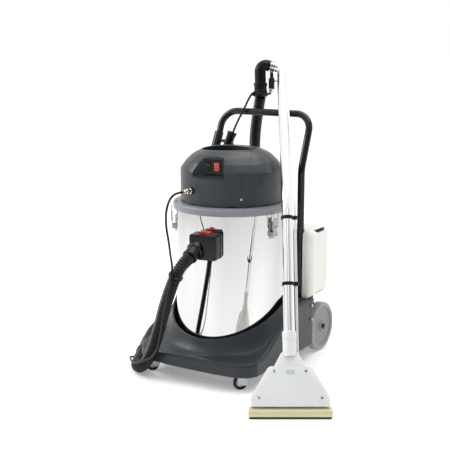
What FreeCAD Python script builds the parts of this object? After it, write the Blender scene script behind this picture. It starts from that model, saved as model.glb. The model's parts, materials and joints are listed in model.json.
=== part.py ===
import FreeCAD, Part
import math
import os

import Sketcher
from FreeCAD import Placement, Rotation, Vector

# Wheeled canister extractor, millimetres, +Z up, front towards -Y, standing on z = 0.
# Shapes are drawn about the drum's axis, and frame_x and frame_y then move every piece,
# so that the origin is at the middle of the underside of the whole machine.
SIZES = {
    "frame_x": -164.9,
    "frame_y": 30.6,
    "front_turn": 9.3,
    "drum_radius": 210.0,
    "drum_wall": 1.2,
    "drum_foot": 72.0,
    "drum_top": 622.0,
    "ring_radius": 220.6,
    "ring_low": 609.5,
    "ring_high": 637.0,
    "cover_radius": 192.0,
    "cover_shoulder": 758.0,
    "cover_top_radius": 106.6,
    "cover_top": 834.0,
    "cover_wall": 4.0,
    "motor_radius": 70.0,
    "base_half": 250.0,
    "base_front": 300.0,
    "base_low": 56.0,
    "base_wall": 4.0,
    "deck": 245.0,
    "well_radius": 222.0,
    "well_wall": 8.0,
    "handle_x": 197.0,
    "handle_y": 184.0,
    "handle_foot": 130.0,
    "handle_bend": 742.0,
    "bar_y": 265.0,
    "bar_height": 945.0,
    "handle_radius": 13.5,
    "handle_wall": 2.0,
    "wheel_x": 221.0,
    "axle_y": 310.0,
    "axle_radius": 6.0,
    "wheel_radius": 97.2,
    "wheel_width": 40.0,
    "running_fit": 0.05,
    "caster_x": 192.0,
    "caster_y": 236.0,
    "caster_trail": 12.0,
    "caster_radius": 25.0,
    "caster_width": 18.0,
    "caster_turn": 31.5,
    "box_half": 52.0,
    "box_front": 283.0,
    "box_back": 216.0,
    "box_low": 462.0,
    "box_high": 554.0,
    "spigot_radius": 27.0,
    "tube_wall": 3.0,
    "tank_half": 255.0,
    "tank_front": 170.0,
    "tank_back": 328.0,
    "tank_low": 245.4,
    "tank_high": 510.0,
    "tank_clear": 226.0,
    "latch_turn": 66.0,
    "wand_radius": 19.0,
    "wand_wall": 1.5,
    "hose_radius": 23.0,
    "solution_radius": 4.0,
    "nozzle_lean": 25.6,
    "nozzle_turn": 31.5,
    "nozzle_x": 457.0,
    "nozzle_y": -381.0,
    "sole_width": 279.0,
    "sole_depth": 34.0,
    "sole_low": 8.0,
    "sole_high": 33.0,
}

doc = FreeCAD.newDocument("extractor")
sheet = doc.addObject("Spreadsheet::Sheet", "sizes")
nodes = []
places = {}


class Size:
    """A length or an angle: its value, and the sheet expression that gives it."""

    def __init__(self, text, value):
        self.text = text
        self.value = value

    def __float__(self):
        return self.value

    def __add__(self, other):
        other = as_size(other)
        return Size(f"({self.text} + {other.text})", self.value + other.value)

    def __sub__(self, other):
        other = as_size(other)
        return Size(f"({self.text} - {other.text})", self.value - other.value)

    def __mul__(self, other):
        other = as_size(other)
        return Size(f"({self.text} * {other.text})", self.value * other.value)

    def __radd__(self, other):
        return as_size(other) + self

    def __neg__(self):
        return Size(f"(0 - {self.text})", -self.value)


def as_size(amount):
    if isinstance(amount, Size):
        return amount
    return Size(f"({float(amount)})", float(amount))


def dim(name):
    return Size(f"sizes.{name}", SIZES[name])


def fill_sheet():
    for row, (name, value) in enumerate(SIZES.items(), start=1):
        sheet.set(f"A{row}", name)
        sheet.set(f"B{row}", str(value))
        sheet.setAlias(f"B{row}", name)
    doc.recompute()


def bind(thing, prop, amount):
    thing.setExpression(prop, as_size(amount).text)


def stand(thing, x=0, y=0, z=0, rotation=None):
    """Put a piece at a point of the drum's frame."""
    thing.Placement = Placement(Vector(float(x), float(y), float(z)), rotation or Rotation())
    for prop, amount in zip(("x", "y", "z"), (x, y, z)):
        bind(thing, f"Placement.Base.{prop}", amount)
    places[thing.Name] = (x, y, z)
    return thing


def keep(thing, label):
    """Make a piece a sub-part of the machine, in the machine's own frame."""
    x, y, z = places.get(thing.Name, (0, 0, 0))
    x = as_size(x) + dim("frame_x")
    y = as_size(y) + dim("frame_y")
    rotation = thing.Placement.Rotation
    stand(thing, x, y, z, rotation)
    thing.Label = label
    nodes.append(thing)
    return thing


def about_z(angle):
    return Rotation(Vector(0, 0, 1), float(angle))


def along(direction):
    return Rotation(Vector(0, 0, 1), Vector(*direction))


def turned(x, y, angle):
    """A point of a frame that is turned about the drum's axis."""
    a = math.radians(float(angle))
    c = math.cos(a)
    s = math.sin(a)
    return float(x) * c - float(y) * s, float(x) * s + float(y) * c


def block(name, low, high):
    box = doc.addObject("Part::Box", name)
    for prop, start, end in zip(("Length", "Width", "Height"), low, high):
        bind(box, prop, as_size(end) - start)
    return stand(box, *low)


def rod(name, radius, length, x=0, y=0, z=0, rotation=None):
    cylinder = doc.addObject("Part::Cylinder", name)
    bind(cylinder, "Radius", radius)
    bind(cylinder, "Height", length)
    return stand(cylinder, x, y, z, rotation)


def taper(name, radius, end_radius, length, x=0, y=0, z=0, rotation=None):
    cone = doc.addObject("Part::Cone", name)
    bind(cone, "Radius1", radius)
    bind(cone, "Radius2", end_radius)
    bind(cone, "Height", length)
    return stand(cone, x, y, z, rotation)


def ball(name, radius, x=0, y=0, z=0):
    sphere = doc.addObject("Part::Sphere", name)
    bind(sphere, "Radius", radius)
    return stand(sphere, x, y, z)


def cut(name, base, tool):
    made = doc.addObject("Part::Cut", name)
    made.Base = base
    made.Tool = tool
    return made


def fuse(name, *pieces):
    made = doc.addObject("Part::MultiFuse", name)
    made.Shapes = list(pieces)
    return made


def common(name, *pieces):
    made = doc.addObject("Part::MultiCommon", name)
    made.Shapes = list(pieces)
    return made


def group(name, *pieces):
    made = doc.addObject("Part::Compound", name)
    made.Links = list(pieces)
    return made


def rounded(name, base, radius, chosen):
    """Round the edges for which chosen(edge) is true."""
    doc.recompute()
    made = doc.addObject("Part::Fillet", name)
    made.Base = base
    edges = [(i, radius, radius) for i, edge in enumerate(base.Shape.Edges, start=1) if chosen(edge)]
    made.Edges = edges
    return made


def upright(edge):
    if edge.Curve.TypeId != "Part::GeomLine":
        return False
    return abs(abs(edge.Curve.Direction.z) - 1) < 1e-6


def plane_of(body, role):
    for feature in body.Origin.OriginFeatures:
        if feature.Role == role:
            return feature
    raise ValueError(role)


def outline(body, name, role, corners, offset=0):
    """A closed sketch of straight lines whose corners are held by the sheet."""
    sketch = body.newObject("Sketcher::SketchObject", name)
    sketch.AttachmentSupport = [(plane_of(body, role), "")]
    sketch.MapMode = "FlatFace"
    bind(sketch, "AttachmentOffset.Base.z", offset)
    count = len(corners)
    points = [Vector(float(a), float(b), 0) for a, b in corners]
    for i in range(count):
        sketch.addGeometry(Part.LineSegment(points[i], points[(i + 1) % count]), False)
    for i in range(count):
        sketch.addConstraint(Sketcher.Constraint("Coincident", i, 2, (i + 1) % count, 1))
    for i, corner in enumerate(corners):
        for kind, amount in zip(("DistanceX", "DistanceY"), corner):
            index = sketch.addConstraint(Sketcher.Constraint(kind, -1, 1, i, 1, float(amount)))
            bind(sketch, f"Constraints[{index}]", amount)
    return sketch


def turning(name, corners):
    """A solid of revolution about +Z from corners given as (radius, height)."""
    body = doc.addObject("PartDesign::Body", name)
    sketch = outline(body, name + "_profile", "XZ_Plane", corners)
    feature = body.newObject("PartDesign::Revolution", name + "_turned")
    feature.Profile = sketch
    feature.ReferenceAxis = (sketch, ["V_Axis"])
    feature.Angle = 360
    return body


def slab(name, corners, low, high):
    """A plate drawn in plan, from one height to another."""
    body = doc.addObject("PartDesign::Body", name)
    sketch = outline(body, name + "_plan", "XY_Plane", corners, low)
    feature = body.newObject("PartDesign::Pad", name + "_pad")
    feature.Profile = sketch
    bind(feature, "Length", as_size(high) - low)
    return body


def side_slab(name, corners, half):
    """A plate drawn in side view as (y, z), as wide as twice its half width."""
    body = doc.addObject("PartDesign::Body", name)
    sketch = outline(body, name + "_side", "YZ_Plane", corners, -as_size(half))
    feature = body.newObject("PartDesign::Pad", name + "_pad")
    feature.Profile = sketch
    bind(feature, "Length", as_size(half) * 2)
    return body


def bent_path(points, radii):
    """Straight runs joined by tangent arcs, and the arc radii that were used."""
    edges = []
    start = points[0]
    for i in range(1, len(points) - 1):
        into = (points[i] - points[i - 1]).normalize()
        away = (points[i + 1] - points[i]).normalize()
        turn = into.getAngle(away)
        reach = radii[i - 1] * math.tan(turn / 2)
        first = points[i] - into * reach
        last = points[i] + away * reach
        inward = (away - into).normalize()
        middle = points[i] + inward * (radii[i - 1] / math.cos(turn / 2) - radii[i - 1])
        edges.append(Part.LineSegment(start, first).toShape())
        edges.append(Part.Arc(first, middle, last).toShape())
        start = last
    edges.append(Part.LineSegment(start, points[-1]).toShape())
    return Part.Wire(edges)


def swept(path, radius):
    first = path.Edges[0]
    point = first.valueAt(first.FirstParameter)
    direction = first.tangentAt(first.FirstParameter)
    circle = Part.Wire([Part.makeCircle(radius, point, direction)])
    return path.makePipeShell([circle], True, False)


def bent_tube(label, points, radii, radius, wall=0):
    """A bent round bar, or a tube where it has a wall."""
    path = bent_path([Vector(*point) for point in points], radii)
    shape = swept(path, radius)
    if wall:
        shape = shape.cut(swept(path, radius - wall))
    return plain(label, shape)


def plain(name, shape):
    feature = doc.addObject("Part::Feature", name)
    feature.Shape = shape
    return feature


def cord_radii(points):
    """Each arc takes 0.45 of the shorter of its two runs."""
    radii = []
    for before, here, after in zip(points, points[1:], points[2:]):
        into = here - before
        away = after - here
        turn = into.getAngle(away)
        radii.append(0.45 * min(into.Length, away.Length) / math.tan(turn / 2))
    return radii


def cord(label, route, radius):
    points = [Vector(*point) for point in route]
    radii = cord_radii(points)
    path = bent_path(points, radii)
    shape = swept(path, radius)
    expected = math.pi * radius * radius * path.Length
    share = shape.Volume / expected
    print(label, "length", round(path.Length), "volume ratio", round(share, 4))
    print(label, "radii", [round(r) for r in radii])
    if abs(share - 1) > 0.01:
        raise ValueError(label + " is not a clean tube")
    return keep(plain(label, shape), label)


# ---------------------------------------------------------------- trolley

BASE_PLAN = [(-250, -238), (-232, -270), (-190, -290), (-100, -298), (0, -300),
             (100, -298), (190, -290), (232, -270), (250, -238), (250, 205),
             (188, 205), (188, 338), (-188, 338), (-188, 205), (-250, 205)]


def base_solid(name, inset):
    """The outer shape of the trolley moulding, or its inner shape, which is inset by the wall."""
    low = dim("base_low") - inset
    deck = dim("deck") - inset
    side = side_slab(name + "_profile", [
        (-dim("base_front") + inset, low),
        (-dim("base_front") + 12 + inset, as_size(104) - inset),
        (as_size(-171), as_size(118) - inset),
        (as_size(-77), as_size(178) - inset),
        (as_size(-28), as_size(211) - inset),
        (as_size(60), deck),
        (as_size(338) - inset, deck),
        (as_size(338) - inset, as_size(150)),
        (as_size(215), low),
    ], dim("base_half"))
    corners = []
    for x, y in BASE_PLAN:
        shift = float(inset)
        corner_x = x - math.copysign(shift, x) if x else 0
        corner_y = y - math.copysign(shift, y)
        corners.append((corner_x, corner_y))
    plan = slab(name + "_outline", corners, 0, dim("deck") + 60)
    return common(name, side, plan)


def collar(name, radius, drop):
    """A raised wall round the drum whose top slopes up towards the back."""
    tall = rod(name + "_round", radius, dim("deck") + 35 - 66 - drop, 0, 0, 66)
    slope = side_slab(name + "_slope", [
        (-300, 60),
        (-300, as_size(126) - drop),
        (0, as_size(272) - drop),
        (60, as_size(280) - drop),
        (140, as_size(280) - drop),
        (160, dim("deck")),
        (300, dim("deck")),
        (300, 60),
    ], dim("base_half"))
    return common(name, tall, slope)


def make_base():
    shell = cut("base_shell", base_solid("base_outer", as_size(0)),
                base_solid("base_inner", dim("base_wall")))
    wall = fuse("base_collars", collar("rim", dim("well_radius") + dim("well_wall"), as_size(0)),
                collar("step", dim("well_radius") + 24, as_size(22)))
    bosses = []
    for side in (-1, 1):
        bosses.append(rod(f"socket{side + 1}", 13, 60, dim("caster_x") * side, -dim("caster_y"),
                          dim("base_low")))
        bosses.append(rod(f"leg_socket{side + 1}", 19, dim("deck") - 110, dim("handle_x") * side,
                          dim("handle_y"), 110))
    beam = block("axle_beam", (-188, as_size(292), as_size(80)), (188, as_size(328), as_size(116)))
    beam_web = block("axle_web", (-188, as_size(328), as_size(80)), (188, as_size(336), as_size(200)))
    whole = fuse("base_whole", shell, wall, beam, beam_web, *bosses)
    holes = [rod("well", dim("well_radius"), 300, 0, 0, dim("drum_foot")),
             rod("drain_hole", 7, 60, 178, -160, 90)]
    for side in (-1, 1):
        holes.append(rod(f"stem_bore{side + 1}", 5.05, 40, dim("caster_x") * side, -dim("caster_y"),
                         dim("base_low") - 1))
        holes.append(rod(f"leg_bore{side + 1}", dim("handle_radius"), 200, dim("handle_x") * side,
                         dim("handle_y"), dim("handle_foot")))
    holes.append(rod("axle_bore", dim("axle_radius"), 600, -300, dim("axle_y"), dim("wheel_radius"),
                     along((1, 0, 0))))
    return keep(cut("base", whole, fuse("base_holes", *holes)), "trolley_base")


def make_handle():
    x = dim("handle_x").value
    y = dim("handle_y").value
    foot = dim("handle_foot").value
    bend = dim("handle_bend").value
    bar_y = dim("bar_y").value
    top = dim("bar_height").value
    points = [(-x, y, foot), (-x, y, bend), (-x, bar_y, top), (x, bar_y, top), (x, y, bend), (x, y, foot)]
    tube = bent_tube("handle", points, [120, 65, 65, 120], dim("handle_radius").value,
                     dim("handle_wall").value)
    keep(tube, "push_handle")
    bolts = []
    for side in (-1, 1):
        for height in (160, 215):
            head = rod("bolt_head", 6.5, 4, dim("base_half") * side, dim("handle_y"), height,
                       along((side, 0, 0)))
            bolts.append(head)
    keep(group("bolts", *bolts), "handle_bolts")


def make_wheels():
    span = dim("wheel_x") + dim("wheel_width") * 0.5 + 4
    keep(rod("axle", dim("axle_radius"), span * 2, -span, dim("axle_y"), dim("wheel_radius"),
             along((1, 0, 0))), "rear_axle")
    caps = []
    half = dim("wheel_width") * 0.5
    for side, word in ((-1, "left"), (1, "right")):
        facing = along((side, 0, 0))
        centre = (dim("wheel_x") * side, dim("axle_y"), dim("wheel_radius"))
        tyre = turning("tyre_" + word, [
            (82, -half), (dim("wheel_radius") - 7, -half), (dim("wheel_radius") - 2, -half + 4),
            (dim("wheel_radius"), -half + 11), (dim("wheel_radius"), half - 11),
            (dim("wheel_radius") - 2, half - 4), (dim("wheel_radius") - 7, half), (82, half)])
        keep(stand(tyre, *centre, facing), "rear_tyre_" + word)
        bore = dim("axle_radius") + dim("running_fit")
        hub = turning("hub_" + word, [
            (bore, -half + 1), (20, -half + 1), (20, -5), (72, -5), (72, -half + 2), (82, -half + 2),
            (82, half - 2), (76, half - 2), (72, half - 7), (22, half - 7), (18, half - 2),
            (bore, half - 2)])
        keep(stand(hub, *centre, facing), "rear_hub_" + word)
        shaft = dim("axle_radius")
        cap = turning("cap_" + word, [
            (shaft, 0), (11, 0), (11, 4), (7, 6.5), (0, 6.5), (0, 4), (shaft, 4)])
        caps.append(stand(cap, (dim("wheel_x") + half) * side, dim("axle_y"), dim("wheel_radius"), facing))
    keep(group("caps", *caps), "axle_caps")


def make_casters():
    turn = dim("caster_turn")
    for side, word in ((-1, "left"), (1, "right")):
        stem_x = dim("caster_x") * side
        stem_y = -dim("caster_y")
        trail = dim("caster_trail")
        low = dim("caster_radius")
        cheek = dim("caster_width") * 0.5 + 1
        plates = []
        for face in (-1, 1):
            y_low = cheek if face > 0 else -cheek - 2
            y_high = cheek + 2 if face > 0 else -cheek
            plates.append(slab(f"cheek_{word}{face + 1}", [
                (-trail - 9, y_low), (14, y_low), (14, y_high), (-trail - 9, y_high)], low - 8, 52))
        top = block("caster_top_" + word, (-trail - 9, -cheek - 2, 52), (14, cheek + 2, 55))
        stem = rod("stem_" + word, 5, 36, 0, 0, 54)
        washer = rod("washer_" + word, 13, 1.5, 0, 0, 54)
        pin = rod("caster_pin_" + word, 3, cheek * 2, -trail, -cheek, low, along((0, 1, 0)))
        fork = fuse("fork_" + word, top, stem, washer, pin, *plates)
        keep(stand(fork, stem_x, stem_y, 0, about_z(turn)), "caster_fork_" + word)
        half = dim("caster_width") * 0.5
        wheel = turning("roller_" + word, [
            (3 + dim("running_fit"), -half), (low - 3, -half), (low, -half + 3), (low, half - 3),
            (low - 3, half), (3 + dim("running_fit"), half)])
        shift_x, shift_y = turned(-trail.value, 0, turn)
        wheel_place = (stem_x + shift_x, stem_y + shift_y, low)
        rotation = about_z(turn).multiply(along((0, 1, 0)))
        keep(stand(wheel, *wheel_place, rotation), "caster_wheel_" + word)


# ---------------------------------------------------------------- drum and inlet

def make_drum():
    outer = dim("drum_radius")
    inner = outer - dim("drum_wall")
    shell = turning("drum_shell", [
        (0, dim("drum_foot")), (outer - 14, dim("drum_foot")), (outer, dim("drum_foot") + 14),
        (outer, dim("drum_top")), (inner, dim("drum_top")), (inner, dim("drum_foot") + 15),
        (inner - 13, dim("drum_foot") + 1.2), (0, dim("drum_foot") + 1.2)])
    mouth = rod("drum_mouth", dim("spigot_radius"), 60, 0, -180, box_middle(), along((0, -1, 0)))
    mouth = stand(mouth, *turned(0, -180, dim("front_turn")), box_middle(),
                  about_z(dim("front_turn")).multiply(along((0, -1, 0))))
    keep(cut("drum", shell, mouth), "steel_drum")
    seal = turning("seal", [
        (inner - 3, dim("drum_top")), (outer + 2, dim("drum_top")), (outer + 2, dim("drum_top") + 5),
        (outer - 1, dim("drum_top") + 5.7), (inner - 3, dim("drum_top") + 5)])
    keep(seal, "drum_rim_seal")


def box_middle():
    return (dim("box_low") + dim("box_high")) * 0.5


def facing_front(thing, label):
    """Turn a piece drawn facing -Y to face the way that the switches and the inlet face."""
    thing.Placement = Placement(Vector(), about_z(dim("front_turn")))
    return keep(thing, label)


def make_inlet():
    towards = along((0, -1, 0))
    radius = dim("spigot_radius")
    middle = box_middle()
    flange = fuse("flange", rod("flange_disc", 38, 20, 0, -196, middle, towards),
                  rod("flange_tube", radius, 52, 0, -186, middle, towards))
    back = fuse("flange_inside", rod("drum_clear", dim("drum_radius"), 900, 0, 0, 0),
                rod("flange_bore", radius - dim("tube_wall"), 80, 0, -180, middle, towards))
    collar_tube = cut("inside_tube", rod("inside_outer", radius, 30, 0, -186, middle, towards),
                      rod("inside_bore", radius - dim("tube_wall"), 80, 0, -180, middle, towards))
    facing_front(fuse("spigot", cut("spigot_outside", flange, back), collar_tube), "inlet_spigot")

    shell = block("box_shell", (-dim("box_half"), -dim("box_front"), dim("box_low")),
                  (dim("box_half"), -dim("box_back"), dim("box_high")))
    shell = rounded("box_rounded", shell, 9, lambda edge: edge.BoundBox.YMin < -217 or upright(edge))
    wall = as_size(4)
    hollow = block("box_hollow", (-dim("box_half") + wall, -dim("box_front") + wall, dim("box_low") + wall),
                   (dim("box_half") - wall, -dim("box_back") - wall, dim("box_high") - wall))
    back_hole = rod("box_back_hole", radius + 0.2, 40, 0, -200, middle, towards)
    slot = block("latch_slot", (-18.5, -258.5, 543), (18.5, -227.5, 568))
    cuff_hole = rod("cuff_hole", 20, 60, -21, -254, 514, along(CUFF_LOCAL))
    openings = fuse("box_openings", hollow, back_hole, slot, cuff_hole)
    facing_front(cut("box", shell, openings), "inlet_box")

    latch = fuse("latch_parts", block("latch_key", (-18, -258, 544), (18, -228, 559)),
                 block("latch_thumb", (-18, -258, 557), (6, -246, 563)),
                 block("latch_foot", (-22, -262, 540), (22, -224, 544)))
    facing_front(latch, "release_latch")

    start, away = cuff_line()
    solid = taper("cuff_taper", 26.5, 25.5, CUFF_LENGTH + 12, *(start - away * 12), along(away))
    bore = rod("cuff_bore", 20, CUFF_LENGTH + 6, *(start - away * 14), along(away))
    box_clear = block("cuff_box_clear", (-dim("box_half"), -dim("box_front"), dim("box_low")),
                      (dim("box_half"), -dim("box_back"), dim("box_high")))
    stand(box_clear, *turned(-dim("box_half"), -dim("box_front"), dim("front_turn")), dim("box_low"),
          about_z(dim("front_turn")))
    keep(cut("cuff", solid, fuse("cuff_holes", bore, box_clear)), "hose_cuff")

    inside = -186
    deflector_points = [(0, inside, middle.value), (0, inside + 48, middle.value),
                        (0, inside + 48, middle.value - 58)]
    elbow = bent_tube("deflector", deflector_points, [34], radius.value, dim("tube_wall").value)
    facing_front(elbow, "inlet_deflector")


CUFF_LOCAL = (-0.16, -0.86, -0.48)
CUFF_LENGTH = 44


def cuff_line():
    """Where the hose cuff leaves the middle of its opening in the box, and its direction."""
    start = Vector(*turned(-26, -281, dim("front_turn")), 499)
    away = Vector(*turned(CUFF_LOCAL[0], CUFF_LOCAL[1], dim("front_turn")), CUFF_LOCAL[2]).normalize()
    return start, away


# ---------------------------------------------------------------- side latches

def make_latches():
    for side, word in ((-1, "left"), (1, "right")):
        angle = dim("front_turn").value - 90 + side * dim("latch_turn").value
        where = about_z(angle)
        drum = dim("drum_radius")
        pin_x = drum + 11
        plate = block("plate_" + word, (drum + 0.1, -13, 520), (drum + 3, 13, 582))
        ears = []
        for face in (-1, 1):
            low = 10.4 if face > 0 else -13
            ears.append(block(f"ear_{word}{face + 1}", (drum + 2, low, 529), (drum + 15, low + 2.6, 545)))
        pin = rod("latch_pin_" + word, 1.5, 24, pin_x, -12, 537, along((0, 1, 0)))
        base = fuse("latch_base_" + word + "_body", plate, pin, *ears)
        base.Placement = Placement(Vector(), where)
        keep(base, "latch_base_" + word)

        barrel = rod("barrel_" + word, 3.4, 20, pin_x, -10, 537, along((0, 1, 0)))
        arm = block("arm_" + word, (pin_x + 1.8, -9, 534), (pin_x + 4.3, 9, 596))
        knuckle = rod("knuckle_" + word, 3, 18, pin_x + 6, -9, 562, along((0, 1, 0)))
        bores = fuse("lever_bores_" + word,
                     rod("pin_bore_" + word, 1.55, 30, pin_x, -15, 537, along((0, 1, 0))),
                     rod("bail_bore_" + word, 1.35, 30, pin_x + 6, -15, 562, along((0, 1, 0))))
        lever = cut("lever_" + word, fuse("lever_solid_" + word, barrel, arm, knuckle), bores)
        lever.Placement = Placement(Vector(), where)
        keep(lever, "latch_lever_" + word)

        bail_x = pin_x.value + 6
        points = [(bail_x, -4, 562), (bail_x, -12, 562), (bail_x, -12, 618),
                  (bail_x, 12, 618), (bail_x, 12, 562), (bail_x, 4, 562)]
        bail = bent_tube("bail_" + word, points, [2, 4, 4, 2], 1.3)
        bail.Placement = Placement(Vector(), where)
        keep(bail, "latch_bail_" + word)


# ---------------------------------------------------------------- motor head

def make_head():
    skirt = dim("ring_radius")
    low = dim("ring_low")
    high = dim("ring_high")
    ring = turning("ring", [
        (22, high - 9), (skirt - 6, high - 9), (skirt - 6, low), (skirt - 2, low), (skirt, low + 3),
        (skirt, high - 4), (skirt - 4, high), (22, high)])
    keep(ring, "head_ring")

    cover = head_cover()
    facing_front(cover, "head_cover")

    panel = block("panel_plate", (-52, -146, 748), (18, -142, 804))
    windows = fuse("panel_windows", block("window_black", (-44, -150, 760), (-22.6, -130, 796)),
                   block("window_red", (-10.4, -150, 760), (11, -130, 796)))
    facing_front(cut("panel", panel, windows), "switch_panel")
    for name, x in (("vacuum_switch", -43.4), ("pump_switch", -9.8)):
        paddle = side_slab(name + "_body", [
            (-134, 765), (-134, 791), (-143, 793.5), (-150.5, 793), (-147.5, 778), (-150.5, 763),
            (-143, 762.5)], 10.1)
        bore = rod(name + "_bore", 1.5, 24, -12, -140, 778, along((1, 0, 0)))
        rocker = cut(name + "_bored", paddle, bore)
        tilt = Rotation(Vector(1, 0, 0), 7)
        centre = Vector(x + 10.1, -140, 778)
        rocker.Placement = Placement(centre - tilt.multVec(Vector(0, -140, 778)), tilt)
        turned_place = Placement(Vector(), about_z(dim("front_turn"))).multiply(rocker.Placement)
        stand(rocker, *turned_place.Base, turned_place.Rotation)
        keep(rocker, name)

    fix = dim("ring_high")
    motor = turning("motor", [
        (0, fix), (34, fix), (dim("motor_radius"), fix + 6), (dim("motor_radius"), fix + 50),
        (52, fix + 56),
        (52, fix + 98), (40, fix + 106), (0, fix + 106)])
    keep(motor, "vacuum_motor")

    cage_low = as_size(545)
    cage = turning("cage_shell", [
        (30, cage_low), (38, cage_low), (38, high - 9), (35, high - 9), (35, cage_low + 3),
        (30, cage_low + 3)])
    windows = []
    for turn in (0, 90):
        window = block(f"cage_window{turn}", (-60, -12, 556), (60, 12, 612))
        window.Placement = Placement(about_z(turn).multVec(Vector(-60, -12, 556)), about_z(turn))
        windows.append(window)
    keep(cut("cage", cage, fuse("cage_windows", *windows)), "float_cage")
    keep(ball("float", 33, 0, 0, cage_low + 17), "float_ball")

    keep(block("pump", (-150, -26, fix), (-92, 26, fix + 52)), "solution_pump")
    make_coupling()

    gland_out = along((0, 1, 0))
    gland = fuse("gland_parts", rod("gland_nut", 13, 8, 0, dim("cover_radius") - 1, 668, gland_out),
                 taper("gland_sleeve", 8, 5.5, 32, 0, dim("cover_radius") + 7, 668, gland_out))
    gland_bore = rod("gland_bore", 4, 60, 0, dim("cover_radius") - 4, 668, gland_out)
    gland_holes = fuse("gland_holes", gland_bore, rod("gland_clear", dim("cover_radius"), 200, 0, 0, 600))
    keep(cut("gland", gland, gland_holes), "cable_gland")

    screws = []
    for turn in (-49, 41, 131, -139):
        x, y = turned(dim("cover_radius").value - 0.6, 0, turn)
        facing = about_z(turn).multiply(along((1, 0, 0)))
        screw = rod("head_screw", 4.5, 2.4, x, y, 668, facing)
        screws.append(cut("screw_on_wall", screw, rod("screw_clear", dim("cover_radius"), 60, 0, 0, 640)))
    keep(group("screws", *screws), "head_screws")


def dome_outline(inset):
    """Half of the cover's section: an upright wall, a shoulder and a gently rounded slope."""
    wall = dim("cover_radius") - inset
    return [(0, dim("ring_high")), (wall, dim("ring_high")), (wall, dim("cover_shoulder")),
            (wall - 5, dim("cover_shoulder") + 7 - inset * 0.6),
            (171 - inset.value, as_size(787) - inset * 0.6),
            (146 - inset.value, as_size(812) - inset * 0.8),
            (dim("cover_top_radius") - inset, dim("cover_top") - inset), (0, dim("cover_top") - inset)]


def head_cover():
    outer = turning("dome_outer", dome_outline(as_size(0)))
    inner = turning("dome_inner", dome_outline(dim("cover_wall")))
    shell = cut("dome_shell", outer, inner)
    recess = [(-143, -230), (60, -230), (28, -142), (-54, -142)]
    walls = [(-150, -230), (65, -230), (32, -138), (-57, -138)]
    boss = turning("grip_boss", [(0, 796), (122, 796), (122, 860), (0, 860)])
    housing = common("recess_housing", turning("dome_again", dome_outline(as_size(0))),
                     fuse("recess_solids", slab("recess_walls", walls, 735, 860), boss))
    hollow = slab("recess_hollow", recess, 738, 870)
    switch_hole = block("switch_hole", (-49, -150, 752), (15, -130, 801))
    grip = common("grip_lens", rod("grip_front", 108, 80, -10, 8, 802),
                  rod("grip_back", 110, 80, -10, -75, 802))
    holes = fuse("cover_holes", hollow, switch_hole, grip)
    notches = []
    for turn in (-148, -105, -58, -20, 40, 90, 140):
        notch = block("air_notch", (180, -16, 630), (200, 16, 641))
        spin = about_z(turn)
        notch.Placement = Placement(spin.multVec(Vector(180, -16, 630)), spin)
        notches.append(notch)
    whole = fuse("cover_whole", shell, housing)
    return cut("cover", whole, fuse("cover_cuts", holes, *notches))


def make_coupling():
    """Brass quick coupling, facing out of the cover on the left of the front."""
    angle = -108.4
    out = Vector(*turned(1, 0, angle), 0)
    foot = out * 190.0 + Vector(0, 0, 689)
    facing = along(out)
    solid = fuse("coupling_solid", rod("coupling_nut", 11, 6, *(foot + out * 2), facing),
                 rod("coupling_body", 7.5, 20, *(foot + out * 8), facing),
                 rod("coupling_sleeve", 9, 9, *(foot + out * 15), facing),
                 rod("coupling_tail", 5, 14, *(foot + out * 26), facing))
    keep(solid, "solution_coupling")


# ---------------------------------------------------------------- solution tank

def make_tank():
    half = dim("tank_half")
    front = dim("tank_front")
    back = dim("tank_back")
    low = dim("tank_low")
    high = dim("tank_high")
    body = block("tank_block", (-half, front, low), (half, back, high))

    def rim(edge):
        box = edge.BoundBox
        outside = abs(abs(box.Center.x) - half.value) < 1 or box.YMin > back.value - 1
        return outside or box.ZMin > high.value - 1

    body = rounded("tank_rounded", body, 26, rim)
    saddle = rod("saddle", dim("tank_clear"), 400, 0, 0, 200)
    grooves = []
    for side in (-1, 1):
        x = dim("handle_x") * side
        grooves.append(rod(f"groove{side + 1}", dim("handle_radius") + 3.5, 400, x, dim("handle_y"), 200))
        grooves.append(block(f"groove_mouth{side + 1}", (x - dim("handle_radius") - 3.5, 160, 200),
                             (x + dim("handle_radius") + 3.5, dim("handle_y"), 600)))
    slope = side_slab("tank_slope", [(300, 200), (360, 200), (360, 300)], half + 5)
    neck = rod("neck", 30, 12, -150, 262, high - 2)
    solid = fuse("tank_solid", cut("tank_outer", body, fuse("tank_cuts", saddle, slope, *grooves)), neck)
    hollow = tank_hollow(half, back, low, high)
    keep(cut("tank", solid, hollow), "solution_tank")

    cap = turning("cap", [
        (0, 10.6), (30.6, 10.6), (30.6, 0.6), (35, 0.6), (35, 12), (32, 15), (0, 15)])
    keep(stand(cap, -150, 262, high), "tank_cap")
    valve = fuse("valve_parts", rod("valve_nut", 12, 8, 60, back, 350, along((0, 1, 0))),
                 rod("valve_tail", 6, 18, 60, back + 6, 350, along((0, 1, 0))))
    keep(valve, "tank_valve")


def tank_hollow(half, back, low, high):
    wall = 3.5
    body = block("tank_core", (-half + wall, 205, low + wall), (half - wall, back - 30, high - wall))
    body = rounded("tank_core_rounded", body, 20, upright)
    saddle = rod("saddle_core", dim("tank_clear") + wall, 400, 0, 0, 200)
    core = cut("tank_core_cut", body, saddle)
    return fuse("tank_inside", core, rod("neck_bore", 26, 40, -150, 262, high - 20))


# ---------------------------------------------------------------- floor wand

VIEW_TURN = 31.5
GRIP_FOOT = (-66, 330, 1052)
WAND_TOP = (-2, 387, 1110)
WAND_END = (-40, 359, 1121)


def wand_point(away, height, aside=0.0):
    """A point of the wand's upright plane, at a distance from the nozzle's foot."""
    x, y = turned(aside, away, VIEW_TURN)
    return (dim("nozzle_x").value + x, dim("nozzle_y").value + y, height)


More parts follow.
